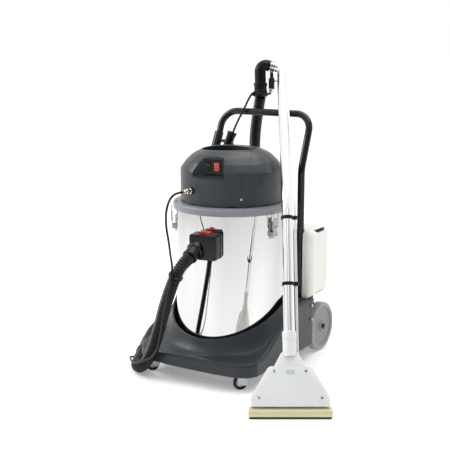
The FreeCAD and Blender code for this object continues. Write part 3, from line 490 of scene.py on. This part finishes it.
def make_studio():
    white = finish_of("floor_white", (0.92, 0.92, 0.92), 0.6, vary=0.01, patch=2.0, specular=0.1)
    shader = white.node_tree.nodes["Principled BSDF"]
    shader.inputs["Emission Color"].default_value = (1, 1, 1, 1)
    shader.inputs["Emission Strength"].default_value = FLOOR_GLOW
    sheet("floor", [(x * FLOOR_HALF, y * FLOOR_HALF, 0) for x, y in ((-1, -1), (1, -1), (1, 1), (-1, 1))], white)


# ---------------------------------------------------------------- hoses

SUCTION_ROUTE = [
    (0.0189, -0.3201, 0.4778), (0.012, -0.345, 0.462), (0, -0.363, 0.436), (-0.013, -0.371, 0.402),
    (-0.028, -0.374, 0.362), (-0.054, -0.368, 0.303), (-0.081, -0.356, 0.237), (-0.109, -0.343, 0.176),
    (-0.137, -0.332, 0.118), (-0.164, -0.326, 0.07), (-0.202, -0.318, 0.033), (-0.245, -0.288, 0.024),
    (-0.272, -0.235, 0.024), (-0.3, -0.175, 0.028), (-0.335, -0.11, 0.028), (-0.385, -0.02, 0.024),
    (-0.435, 0.075, 0.024), (-0.47, 0.17, 0.024), (-0.482, 0.26, 0.024), (-0.46, 0.345, 0.024),
    (-0.395, 0.415, 0.024), (-0.31, 0.449, 0.024), (-0.238, 0.466, 0.055), (-0.181, 0.478, 0.113),
    (-0.151, 0.485, 0.188), (-0.148, 0.484, 0.285), (-0.143, 0.47, 0.39), (-0.138, 0.45, 0.495),
    (-0.133, 0.425, 0.6), (-0.126, 0.395, 0.705), (-0.11, 0.362, 0.81), (-0.086, 0.336, 0.91),
    (-0.063, 0.326, 1)]
SOLUTION_ROUTE = [
    (-0.0727, -0.2185, 0.6890), (-0.0827, -0.2486, 0.6890), (-0.0920, -0.2750, 0.6720),
    (-0.0940, -0.2980, 0.6300), (-0.0800, -0.3180, 0.5780), (-0.0530, -0.3400, 0.5280),
    (-0.0250, -0.3720, 0.4900), (0.0030, -0.4000, 0.4580), (0.0050, -0.4120, 0.4140),
    (-0.0080, -0.4140, 0.3590), (-0.0300, -0.4080, 0.2900), (-0.0520, -0.3960, 0.2150),
    (-0.0760, -0.3820, 0.1450), (-0.1080, -0.3720, 0.1060), (-0.1500, -0.3620, 0.0820),
    (-0.1960, -0.3500, 0.0580), (-0.2460, -0.3200, 0.0500), (-0.2840, -0.2740, 0.0470),
    (-0.3120, -0.2220, 0.0250), (-0.3370, -0.1760, 0.0080), (-0.3660, -0.1200, 0.0080),
    (-0.4120, -0.0340, 0.0080), (-0.4630, 0.0620, 0.0080), (-0.5000, 0.1600, 0.0080),
    (-0.5130, 0.2610, 0.0080), (-0.4880, 0.3600, 0.0080), (-0.4130, 0.4410, 0.0080),
    (-0.3170, 0.4800, 0.0080), (-0.2450, 0.4970, 0.0500), (-0.1880, 0.5100, 0.1100),
    (-0.1600, 0.5170, 0.1880), (-0.1570, 0.5160, 0.2850), (-0.1540, 0.5020, 0.3900),
    (-0.1520, 0.4800, 0.4950), (-0.1560, 0.4480, 0.6000), (-0.1630, 0.3950, 0.7000),
    (-0.1650, 0.3200, 0.7700), (-0.1520, 0.2550, 0.8120), (-0.1330, 0.2170, 0.8500),
    (-0.1080, 0.2170, 0.9030), (-0.0920, 0.2390, 0.9500), (-0.0830, 0.2630, 0.9920),
    (-0.0770, 0.2810, 1.0160), (-0.0620, 0.2880, 1.0220), (-0.0420, 0.2880, 1.0140),
    (-0.0280, 0.3000, 1.0090), (-0.0190, 0.3240, 1.0150)]


def spline_of(name, route, bevel=0.0):
    curve = bpy.data.curves.new(name, "CURVE")
    curve.dimensions = "3D"
    curve.resolution_u = 12
    spline = curve.splines.new("NURBS")
    spline.points.add(len(route) - 1)
    for point, spot in zip(spline.points, route):
        point.co = (*(AXIS + Vector(spot)), 1)
    spline.order_u = 3
    spline.use_endpoint_u = True
    curve.bevel_depth = bevel
    curve.bevel_resolution = 5
    return curve


def followed(route):
    """The points that Blender gives for a route's own spline."""
    obj = bpy.data.objects.new("followed", spline_of("followed", route))
    bpy.context.scene.collection.objects.link(obj)
    bpy.context.view_layer.update()
    line = bpy.data.meshes.new_from_object(obj)
    points = [v.co.copy() for v in line.vertices]
    bpy.data.objects.remove(obj)
    return points


def spaced(points, step):
    """Points at even distances along a line."""
    made = [points[0]]
    carried = 0.0
    for a, b in zip(points, points[1:]):
        length = (b - a).length
        at_length = step - carried
        while at_length <= length:
            made.append(a.lerp(b, at_length / length))
            at_length += step
        carried = (carried + length) % step
    if (made[-1] - points[-1]).length > step * 0.3:
        made.append(points[-1])
    return made


def make_hoses():
    suction = followed(SUCTION_ROUTE)
    rows = spaced(suction, HOSE_STEP)

    def ribbed(i):
        rib = 0.5 + 0.5 * math.cos(2 * math.pi * i * HOSE_STEP / RIB_PITCH)
        return HOSE_VALLEY + RIB_HEIGHT * rib ** 0.7

    tube = piece("suction_hose_tube", pipe("suction_hose_tube", rows, ribbed, 28), "hose_rubber", "trolley",
                 "suction_hose", sharp=80)
    straps = [strap(f"hose_strap_{i}", suction, at(*spot), size)
              for i, (spot, size) in enumerate((((-6, -367, 419), 0.0246), ((-317, -144, 28), 0.0246)))]
    foot, top = HOSE_TOP, (-66, 330, 1052)
    ring = lathe("swivel_strap", soften([(27.4, 3), (30.2, 3), (30.2, 17), (27.4, 17)], 1), along(foot, top), 48)
    buckle = rounded_box("swivel_buckle", (-4, -5, 5), (5, 5, 15), 1.5,
                         Matrix.Translation(at(*(Vector(foot) + Vector((-18, -27, 0))))) @ MM)
    straps.append(piece("swivel_strap", joined("swivel_strap", ring, buckle), "black_plastic", "trolley"))
    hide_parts("hose_clips")

    thin = bpy.data.objects.new("solution_hose_tube", spline_of("solution_hose_tube", SOLUTION_ROUTE, 0.004))
    bpy.context.scene.collection.objects.link(thin)
    thin.data.materials.append(FINISH["black_rubber"])
    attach(thin, "trolley")
    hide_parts("solution_hose")
    line = followed(SOLUTION_ROUTE)


def strap(name, line, spot, size):
    """A buckled strap round the hose at the point of its line that is nearest to a spot."""
    nearest = min(range(1, len(line) - 1), key=lambda i: (line[i] - spot).length)
    way = (line[nearest + 1] - line[nearest - 1]).normalized()
    place = Matrix.Translation(line[nearest]) @ way.to_track_quat("Z", "Y").to_matrix().to_4x4() @ MM
    r = size * 1000
    band = lathe(name, soften([(r - 1.5, -6), (r + 2, -6), (r + 2.4, 0), (r + 2, 6), (r - 1.5, 6)], 0.8), place, 48)
    lug = rounded_box(name + "_lug", (r - 1, -4, -5), (r + 5, 4, 5), 1.4, place)
    return piece(name, joined(name, band, lug), "black_plastic", "trolley")


# ---------------------------------------------------------------- trolley base

BASE_OUTLINE = [(250, -238), (250, 205), (188, 205), (188, 338), (-188, 338), (-188, 205), (-250, 205),
                (-250, -238), (-232, -270), (-190, -290), (-100, -298), (0, -300), (100, -298), (190, -290),
                (232, -270)]
DECK = [(-300, 103), (-288, 104), (-171, 118), (-77, 178), (-28, 211), (60, 245), (340, 245)]
RIM = [(-300, 114), (-222, 156), (0, 270), (60, 280), (140, 280), (160, 246), (340, 246)]
BASE_LOW = 56.0
WELL = 222.0


def base_rows(x, y):
    """The section through the moulding from the drum's well out to the edge, on the way to (x, y)."""
    reach = math.hypot(x, y)
    way = Vector((x, y)) / reach

    def spot(r, z):
        return (way.x * r, way.y * r, z)

    def deck(r):
        return blended(DECK, way.y * r, 34)

    rim = max(blended(RIM, way.y * 226, 6), deck(226) + 0.5)
    edge = min(11.0, reach - 248.5)
    made = [spot(WELL, 73), spot(WELL, rim - 2), spot(WELL + 0.6, rim - 0.6), spot(WELL + 2, rim),
            spot(WELL + 6, rim)]
    fall = min(46, (reach - edge - WELL - 6) * 0.85)
    start = WELL + 6 + fall
    foot = deck(start)
    for k in range(1, 11):
        t = k / 10
        made.append(spot(WELL + 6 + fall * t, foot + (rim - foot) * (1 - t) ** 2.1))
    for k in range(1, 11):
        r = start + (reach - edge - start) * k / 10
        made.append(spot(r, deck(r)))
    top = deck(reach)
    for k in range(1, 6):
        a = math.pi / 2 * k / 5
        made.append(spot(reach - edge + edge * math.sin(a), top - edge * (1 - math.cos(a))))
    for k in range(1, 9):
        made.append(spot(reach, top - edge + (BASE_LOW + 3 - top + edge) * k / 8))
    made += [spot(reach - 0.9, BASE_LOW + 0.9), spot(reach - 3, BASE_LOW), spot(reach - 6, BASE_LOW),
             spot(reach - 7, BASE_LOW + 2), spot(reach - 7, BASE_LOW + 40)]
    return made


def make_base():
    rounding = [14, 14, 10, 16, 16, 10, 14, 14, 40, 60, 90, 200, 90, 60, 40]
    corners = soften(BASE_OUTLINE, rounding, 6)
    border = []
    for a, b in zip(corners, corners[1:] + corners[:1]):
        count = max(1, round(math.dist(a, b) / 6))
        border += [(a[0] + (b[0] - a[0]) * k / count, a[1] + (b[1] - a[1]) * k / count) for k in range(count)]
    sections = [base_rows(x, y) for x, y in border]
    deep = len(sections[0])
    points = [at(*p) for section in sections for p in section]
    faces = []
    for i in range(len(sections)):
        n = (i + 1) % len(sections)
        for k in range(deep - 1):
            faces.append((i * deep + k, i * deep + k + 1, n * deep + k + 1, n * deep + k))
    faces.append(tuple(i * deep for i in range(len(sections)))[::-1])
    body = outward(mesh_of("base_moulding", points, faces))
    beam = rounded_box("axle_beam", (-187, 292, 78), (187, 334, 118), 4, upright(0))
    web = rounded_box("axle_web", (-187, 326, 78), (187, 337, 200), 3, upright(0))
    piece("base_moulding", joined("base_moulding", body, beam, web), "base_plastic", "trolley", "trolley_base",
          sharp=42)
    x, y = 178.0, -160.0
    z = blended(DECK, y, 14)
    slope = math.atan2(blended(DECK, y + 8, 14) - blended(DECK, y - 8, 14), 16)
    place = Matrix.Translation(at(x, y, z)) @ Matrix.Rotation(slope, 4, "X") @ MM
    rim = lathe("drain_rim", soften([(6.8, -10), (9.4, -10), (9.4, 0.9), (6.8, 0.9)], 0.6), place, 40)
    piece("drain_rim", rim, "base_plastic", "trolley")
    # A black disc filling the drain hole, as painted shade for the hole's depth.
    shade_disc = lathe("drain_painted_shade", [(0, 0.35), (6.9, 0.35), (6.9, -6), (0, -6)], place, 32)
    shade_disc.materials.append(PAINTED_SHADE)
    piece("drain_painted_shade", shade_disc, "black_rubber", "trolley")


def make_handle():
    path = arcs(in_row([(-197, 184, 130), (-197, 184, 742), (-197, 265, 945), (197, 265, 945), (197, 184, 742),
                        (197, 184, 130)]), [0.120, 0.065, 0.065, 0.120], 3)
    piece("push_handle_tube", pipe("push_handle_tube", path, 0.0135, 40), "handle_paint", "trolley", "push_handle")


def make_wheels():
    for side, word in ((-1, "left"), (1, "right")):
        hub_at = (221 * side, AXLE_Y, WHEEL_RADIUS)
        place = along(hub_at, (hub_at[0] + side * 10, AXLE_Y, WHEEL_RADIUS))
        tyre = soften([(81.5, -19), (90, -20), (96, -15.5), (97.2, -9), (97.2, -2.2), (96.2, -1.4), (96.2, 1.4),
                       (97.2, 2.2), (97.2, 9), (96, 15.5), (90, 20), (86.5, 20), (85, 18.6), (81.5, 18.2)], 1.6)
        piece("tyre_" + word, lathe("tyre_" + word, tyre, place, 160), "tyre_grey", "wheel_" + word,
              "rear_tyre_" + word)
        disc = soften([(6.2, -18), (20, -18), (21, -8), (70, -8), (74, -16), (81.4, -17.4), (81.4, 17.6),
                       (78, 18.4), (75, 17.4), (72.5, 13.6), (46, 12.2), (44, 13.4), (41, 13.4), (39, 12),
                       (24, 12), (20, 17), (12, 18), (6.2, 18)], 1.2)
        hub = lathe("hub_" + word, disc, place, 160)
        piece("hub_" + word, hub, "hub_grey", "wheel_" + word, "rear_hub_" + word)


def make_casters():
    for word in ("left", "right"):
        low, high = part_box("caster_wheel_" + word)
        centre = (low + high) / 2
        lean = Matrix.Rotation(math.radians(31.5), 4, "Z") @ Matrix.Rotation(math.radians(-90), 4, "X")
        place = Matrix.Translation(centre) @ lean @ MM
        roller = lathe("roller_" + word, soften([(3.1, -8.8), (25, -8.8), (25, 8.8), (3.1, 8.8)], [0, 3, 3, 0], 6),
                       place, 72)
        piece("roller_" + word, roller, "black_rubber", "caster_roller_" + word, "caster_wheel_" + word)
        caps = [lathe("roller_cap", soften([(3.2, 8.2 * f), (15, 8.2 * f), (14, 9.1 * f), (3.2, 9.1 * f)], 0.4),
                      place, 48) for f in (-1, 1)]
        piece("roller_caps_" + word, joined("roller_caps_" + word, *caps), "hub_grey", "caster_roller_" + word)


# ---------------------------------------------------------------- drum and head

def make_drum():
    r = DRUM_R
    wall = soften([(0, 72), (r - 12, 72), (r, 86), (r, DRUM_TOP), (r - 1.2, DRUM_TOP), (r - 1.2, 87),
                   (r - 13, 73.4), (0, 73.4)], [0, 10, 10, 0.4, 0.4, 9, 9, 0], 8)
    mesh = lathe("drum_shell", wall, upright(0), 256)
    piece("drum_shell", mesh, "drum_steel", "trolley", "steel_drum", sharp=50)


def dome_profile():
    shape = [(0, 836), (60, 835.4), (104, 832.5), (146, 812.5), (171, 788), (187.5, 765), (192, 757), (192, 650),
             (192, 637.4), (186, 637.4), (0, 637.4)]
    return soften(shape, [0, 40, 70, 90, 40, 10, 6, 0, 0, 0, 0], 8)


def seam_path(shift):
    """The mould's parting line, up the wall and over the shoulder, as the surface goes."""
    made = []
    for r, z in ((192, 650), (192, 700), (192, 750), (190.5, 760), (184, 771), (171, 788), (158, 801),
                 (146, 811.5), (132, 819.5), (118, 826.5), (104, 832)):
        drift = 32 * max(0.0, (192 - r) / 88) ** 0.8
        made.append(at(*turned(r + shift, 0, SEAM_TURN + drift), z))
    return made


def lens(front, front_radius, back, back_radius):
    """The outline that two circles share."""
    middle = (front[0], (front[1] - front_radius + back[1] + back_radius) / 2)
    outline = []
    for k in range(72):
        way = (math.cos(math.radians(5 * k)), math.sin(math.radians(5 * k)))
        reach = []
        for centre, radius in ((front, front_radius), (back, back_radius)):
            off = (middle[0] - centre[0], middle[1] - centre[1])
            dot = off[0] * way[0] + off[1] * way[1]
            reach.append(-dot + math.sqrt(dot * dot - off[0] ** 2 - off[1] ** 2 + radius ** 2))
        outline.append((middle[0] + way[0] * min(reach), middle[1] + way[1] * min(reach)))
    return outline


def make_head():
    dome = lathe("head_dome", dome_profile(), upright(0), 192, closed=False)
    turn = upright(FRONT_TURN)
    recess = soften([(-143, -230), (60, -230), (28, -142), (-54, -142)], [2, 2, 5, 12], 6)
    hollow = prism("recess", recess, 748, 880, turn, 2.5)
    low_edge = min(v.co.z for v in hollow.vertices) + 0.004
    for v in hollow.vertices:
        if v.co.z < low_edge:
            deep = turn.inverted() @ v.co
            v.co.z += 0.00026 * (deep.y + 142)
    inside = lens(GRIP_FRONT, GRIP_FRONT_RADIUS, GRIP_BACK, GRIP_BACK_RADIUS)
    grip = prism("grip", inside, 802, 880, turn)
    cutters = [hollow, grip]
    for turn_by in (-148, -105, -58, -20, 40, 90, 140):
        cutters.append(rounded_box("notch", (180, -16, 628), (202, 16, 641.5), 1.5, upright(turn_by)))
    cutters.append(pipe("seam", seam_path(0.1), 0.0012, 8))
    dome = carved(outward(dome), *cutters)
    dome_obj = piece("head_dome", dome, "head_plastic", "head", "head_cover", sharp=28)
    # The faces of the grip hollow's walls and floor take the black finish, as painted shade inside the hollow.
    dome_obj.data.materials.append(PAINTED_SHADE)
    back_turn = turn.inverted()
    for face in dome_obj.data.polygons:
        centre = back_turn @ face.center
        across = min(GRIP_FRONT_RADIUS + 0.4 - math.dist(centre[:2], GRIP_FRONT),
                     GRIP_BACK_RADIUS + 0.4 - math.dist(centre[:2], GRIP_BACK))
        if across > 0 and centre.z > 801 and (centre.z < 804 or abs(face.normal.z) < 0.3):
            face.material_index = 1
    s = RING_HIGH
    skirt = 220.6
    profile = soften([(22, s - 9), (skirt - 6, s - 9), (skirt - 6, RING_LOW), (skirt - 1.6, RING_LOW),
                      (skirt - 0.6, RING_LOW + 6), (skirt, RING_LOW + 9), (skirt, s - 7), (skirt - 3.5, s - 1.8),
                      (205, s), (22, s)], [0, 0, 1, 1, 2, 2, 4, 4, 2, 0], 5)
    ring = lathe("clamp_ring", profile, upright(0), 256)
    tabs = [rounded_box("tab", (skirt - 16, -6, s - 4), (skirt - 5, 6, s + 1.6), 1.2, upright(a))
            for a in (-49, 41, 131, -139)]
    piece("clamp_ring", joined("clamp_ring", ring, *tabs), "ring_plastic", "head", "head_ring", sharp=38)
    make_switches(turn)
    make_coupling()


def make_switches(turn):
    plate = prism("switch_plate", soften([(-51.5, 749), (17.5, 749), (17.5, 803), (-51.5, 803)], 3), 0, 3.4,
                  Matrix.Identity(4), 0.6)
    windows = [rounded_box("window", (x - 11.2, 759.4, -2), (x + 11.2, 796.6, 6), 1.0, Matrix.Identity(4))
               for x in (-33.3, 0.3)]
    plate = carved(plate, *windows)
    stand_up = turn @ Matrix.Translation((0, -142.2, 0)) @ Matrix.Rotation(math.radians(90), 4, "X")
    plate.transform(stand_up)
    piece("switch_plate", plate, "black_plastic", "head", "switch_panel")
    rockers = (("vacuum_rocker_key", -43.4, "vacuum_switch", "vacuum_rocker", "black_plastic"),
               ("pump_rocker_key", -9.8, "pump_switch", "pump_rocker", "switch_red"))
    for name, x, node, body, slot in rockers:
        side = soften([(-134, 765), (-134, 791), (-143, 793.5), (-150.5, 793), (-147.3, 778), (-150.5, 763),
                       (-143, 762.5)], [1, 1, 2, 1.6, 14, 1.6, 2], 5)
        key = prism(name, side, 0, 20.2, Matrix.Identity(4), 1.0)
        frame_in = Matrix(((0, 0, 1, 0), (1, 0, 0, 0), (0, 1, 0, 0), (0, 0, 0, 1)))
        pivot = Vector((x + 10.1, -140, 778))
        tilt = Matrix.Translation(pivot) @ Matrix.Rotation(math.radians(7), 4, "X") @ Matrix.Translation(-pivot)
        key.transform(turn @ tilt @ Matrix.Translation((x, 0, 0)) @ frame_in)
        piece(name, key, slot, body, node)


def make_coupling():
    angle = -108.4
    foot = Vector((*turned(190, 0, angle), 689))
    tip = Vector((*turned(230, 0, angle), 689))
    place = along(foot, tip)
    nut = prism("coupling_hex", [(11.5 * math.cos(math.radians(60 * k)), 11.5 * math.sin(math.radians(60 * k)))
                                 for k in range(6)], 3, 9, place, 0.8)
    body = lathe("coupling_body", soften([(0, 8), (7.6, 8), (7.6, 13), (6.4, 13.6), (6.4, 15), (9, 15.4), (9, 24),
                                          (7.4, 24.6), (6, 26), (6, 29), (7, 29.8), (7, 33), (5.2, 34), (5, 40),
                                          (0, 40)], 0.35, 3), place, 48, closed=False)
    ribs = [rounded_box("knurl", (8.4, -0.6, 16), (9.5, 0.6, 23.4), 0.3,
                        place @ Matrix.Rotation(math.radians(20 * k), 4, "Z")) for k in range(18)]
    piece("coupling_brass", joined("coupling_brass", nut, body, *ribs), "brass", "head", "solution_coupling")
    bezel = lathe("coupling_bezel", soften([(8, 1.6), (14, 1.6), (14, 4.4), (8, 4.4)], 1), place, 48)
    piece("coupling_bezel", bezel, "black_rubber", "head")


# ---------------------------------------------------------------- inlet and side latches

def make_inlet():
    turn = upright(FRONT_TURN)
    back = rounded_box("box_back", (-51.2, -239.5, 462.8), (51.2, -216, 553.2), 5, turn)
    front = rounded_box("box_front", (-52, -283, 462), (52, -240.3, 554), 9, turn, 6)
    slot = rounded_box("latch_slot", (-20, -260, 548), (20, -226, 563), 2, turn)
    start = Vector((*turned(-26, -281, FRONT_TURN), 499))
    away = Vector((*turned(-0.16, -0.86, FRONT_TURN), -0.48)).normalized()
    front = carved(front, slot)
    back = carved(back, slot)
    floor = rounded_box("latch_floor", (-19.6, -259.6, 544), (19.6, -226.4, 548.4), 0.5, turn)
    piece("inlet_housing", joined("inlet_housing", back, front, floor), "black_plastic", "trolley", "inlet_box",
          sharp=30)
    place = along(start, start + away * 10)
    cuff = lathe("cuff_sleeve", soften([(20, -16), (31, -16), (31, 7), (29.5, 9), (27, 10), (26.6, 34), (27.8, 35),
                                        (27.8, 41), (26, 44), (20, 44)], 0.8), place, 72)
    piece("cuff_sleeve", cuff, "black_plastic", "trolley", "hose_cuff")
    key = rounded_box("latch_key", (-18, -258, 544.5), (18, -228, 558.6), 2.4, turn, 5)
    thumb = rounded_box("latch_thumb", (-18, -258, 554), (6, -246, 563), 2.6, turn, 5)
    groove = [rounded_box("grip_bar", (-14 + 8 * k, -243, 557), (-11 + 8 * k, -231, 559.8), 0.8, turn)
              for k in range(4)]
    piece("latch_key", joined("latch_key", key, thumb, *groove), "latch_red", "hose_release", "release_latch")


# ---------------------------------------------------------------- tank

def make_tank():
    place = upright(0, -150, 262, 510)
    cap = lathe("cap_cover", soften([(0, 10.8), (30.8, 10.8), (30.8, 0.8), (35, 0.8), (35, 12), (33, 15), (10, 15),
                                     (9, 13.6), (0, 13.6)], 1.0, 4), place, 96, closed=False)
    grips = [rounded_box("cap_grip", (34, -1.3, 2), (36, 1.3, 11.5), 0.6,
                         place @ Matrix.Rotation(math.radians(15 * k), 4, "Z")) for k in range(24)]
    piece("cap_cover", joined("cap_cover", cap, *grips), "black_plastic", "tank_cap_body", "tank_cap")


# ---------------------------------------------------------------- wand and nozzle

def wand_point(away, height, aside=0.0):
    x, y = turned(aside, away, WAND_TURN)
    return (NOZZLE_X + x, NOZZLE_Y + y, height)


def make_wand():
    top, end, foot = (-2, 387, 1110), (-40, 359, 1121), (-66, 330, 1052)
    path = arcs(in_row([wand_point(83, 206), wand_point(314, 690), top, end]), [0.260, 0.027], 2)
    piece("wand_chrome", pipe("wand_chrome", path, 0.019, 48), "chrome_tube", "trolley", "wand_tube")
    bend = arcs(in_row([end, (-74, 339, 1133), foot]), [0.024], 5)
    piece("wand_bend", pipe("wand_bend", bend, 0.0225, 40), "black_rubber", "trolley", "wand_elbow")
    sleeve_length = (Vector(HOSE_TOP) - Vector(foot)).length
    sleeve = soften([(19, -3), (26.4, -3), (27, 0), (27, 8), (25.2, 10), (25.2, 26), (27, 28), (27, sleeve_length - 3),
                     (25, sleeve_length), (19, sleeve_length)], 0.8)
    piece("swivel_sleeve", lathe("swivel_sleeve", sleeve, along(foot, HOSE_TOP), 64), "black_rubber",
          "trolley", "hose_swivel")
    axis = (Vector(end) - Vector(top)).normalized()
    rings = []
    for share in (3, 12):
        spot = Vector(end) - axis * share
        collar = soften([(18.6, 0), (23, 0), (23, 5), (18.6, 5)], 1.2)
        rings.append(lathe("collar", collar, along(spot, spot - axis), 64))
    piece("wand_rings", joined("wand_rings", *rings), "zinc_steel", "trolley", "wand_collars")
    aside = 28.0
    line = arcs(in_row([wand_point(72, 112, aside), wand_point(99, 200, aside), wand_point(316, 685, aside),
                        wand_point(740, 968, aside), (6, 374, 1066), (-21, 365.2, 1061)]),
                [0.060, 0.200, 0.060, 0.016], 3)
    piece("wand_line", pipe("wand_line", line, 0.004, 20), "chrome_tube", "trolley", "solution_line")
    low, knee = Vector(wand_point(83, 206)), Vector(wand_point(314, 690))
    clips = []
    for share in (0.42, 0.855):
        spot = low.lerp(knee, share)
        place = along(spot, knee)
        clips.append(lathe("clip_ring", soften([(18.8, -6), (22.4, -6), (22.4, 6), (18.8, 6)], 1), place, 48))
        x, y = turned(aside, 4, WAND_TURN)
        ear = Vector(spot) + Vector((x, y, 0))
        lug = soften([(3.9, -6), (8, -6), (8, 6), (3.9, 6)], 1)
        clips.append(lathe("clip_ear", lug, along(ear, ear + knee - low), 32))
    piece("wand_clips", joined("wand_clips", *clips), "black_plastic", "trolley", "line_clips")


def make_nozzle():
    foot = Matrix.Translation(at(NOZZLE_X, NOZZLE_Y, 32)) @ Matrix.Rotation(math.radians(WAND_TURN), 4, "Z")
    lean = foot @ Matrix.Rotation(math.radians(-25.6), 4, "X") @ MM
    upright_plate = lean @ Matrix.Rotation(math.radians(90), 4, "X")
    funnel = soften([(-130, 6), (130, 6), (126, 36), (57, 131), (22.8, 193), (-22.8, 193), (-57, 131), (-126, 36)],
                    [2, 2, 14, 40, 30, 30, 40, 14], 6)
    shell = prism("funnel", funnel, -11, 11, upright_plate, 4.5, 4)
    neck = lathe("neck", soften([(19, 172), (22.8, 172), (22.8, 232), (23.6, 233), (23.6, 255), (22.4, 256),
                                 (19, 256)], 0.8), lean, 72)
    band = lathe("neck_band", soften([(22, 224), (24, 224), (24, 228), (22, 228)], 0.6), lean, 72)
    piece("nozzle_funnel", joined("nozzle_funnel", shell, neck, band), "nozzle_plastic", "trolley", "nozzle_body")
    face = soften([(-133, 6), (133, 6), (130, 40), (75, 131), (66, 138), (-66, 138), (-75, 131), (-130, 40)],
                  [2, 2, 12, 6, 8, 8, 6, 12], 6)
    plate = prism("nozzle_face", face, 11.1, 14, upright_plate, 1.0, 3)
    piece("nozzle_face", plate, "nozzle_plastic", "trolley", "nozzle_plate")
    pane = prism("nozzle_window", soften([(-14, 112), (16, 112), (16, 126), (-14, 126)], 3), 13.9, 14.6,
                 upright_plate, 0.3, 2)
    pane.materials.append(WINDOW)
    piece("nozzle_window", pane, "nozzle_plastic", "trolley")
    ground = Matrix.Translation(at(NOZZLE_X, NOZZLE_Y, 0)) @ Matrix.Rotation(math.radians(WAND_TURN), 4, "Z") @ MM
    bar = rounded_box("sole_block", (-139.5, -17, 8), (139.5, 17, 33), 3.4, ground, 5)
    rail = rounded_box("sole_rail", (-139, -17.8, 20), (139, -14, 24), 1.2, ground)
    piece("sole_block", joined("sole_block", bar, rail), "sole_plastic", "trolley", "nozzle_sole")
    lips = [rounded_box("lip", (-136.5, y, 0.2), (136.5, y + 7, 9), 1.2, ground) for y in (-12, 5)]
    piece("lip_strips", joined("lip_strips", *lips), "black_rubber", "trolley", "nozzle_lip")


# ---------------------------------------------------------------- the CAD nodes that are shown as they are

def finish_nodes():
    slots = {}
    for part in frame["record"].get("subparts", []):
        slots[part.get("node") or part.get("name")] = part.get("material_slot") or part.get("material")
    for name, obj in NODES.items():
        if obj.hide_render:
            continue
        slot = slots.get(name)
        if slot not in FINISH:
            slot = next((m.name.split(".")[0] for m in obj.data.materials if m and m.name.split(".")[0] in FINISH),
                        "black_plastic")
        obj.data.materials.clear()
        obj.data.materials.append(FINISH[slot])
        if name == "solution_tank":
            continue
        bevel = obj.modifiers.new("worn_edges", "BEVEL")
        bevel.limit_method = "ANGLE"
        bevel.angle_limit = math.radians(40)
        bevel.width = 0.0006
        bevel.segments = 2


make_studio()
make_hoses()
make_base()
make_handle()
make_wheels()
make_casters()
make_drum()
make_head()
make_inlet()
make_tank()
make_wand()
make_nozzle()
finish_nodes()
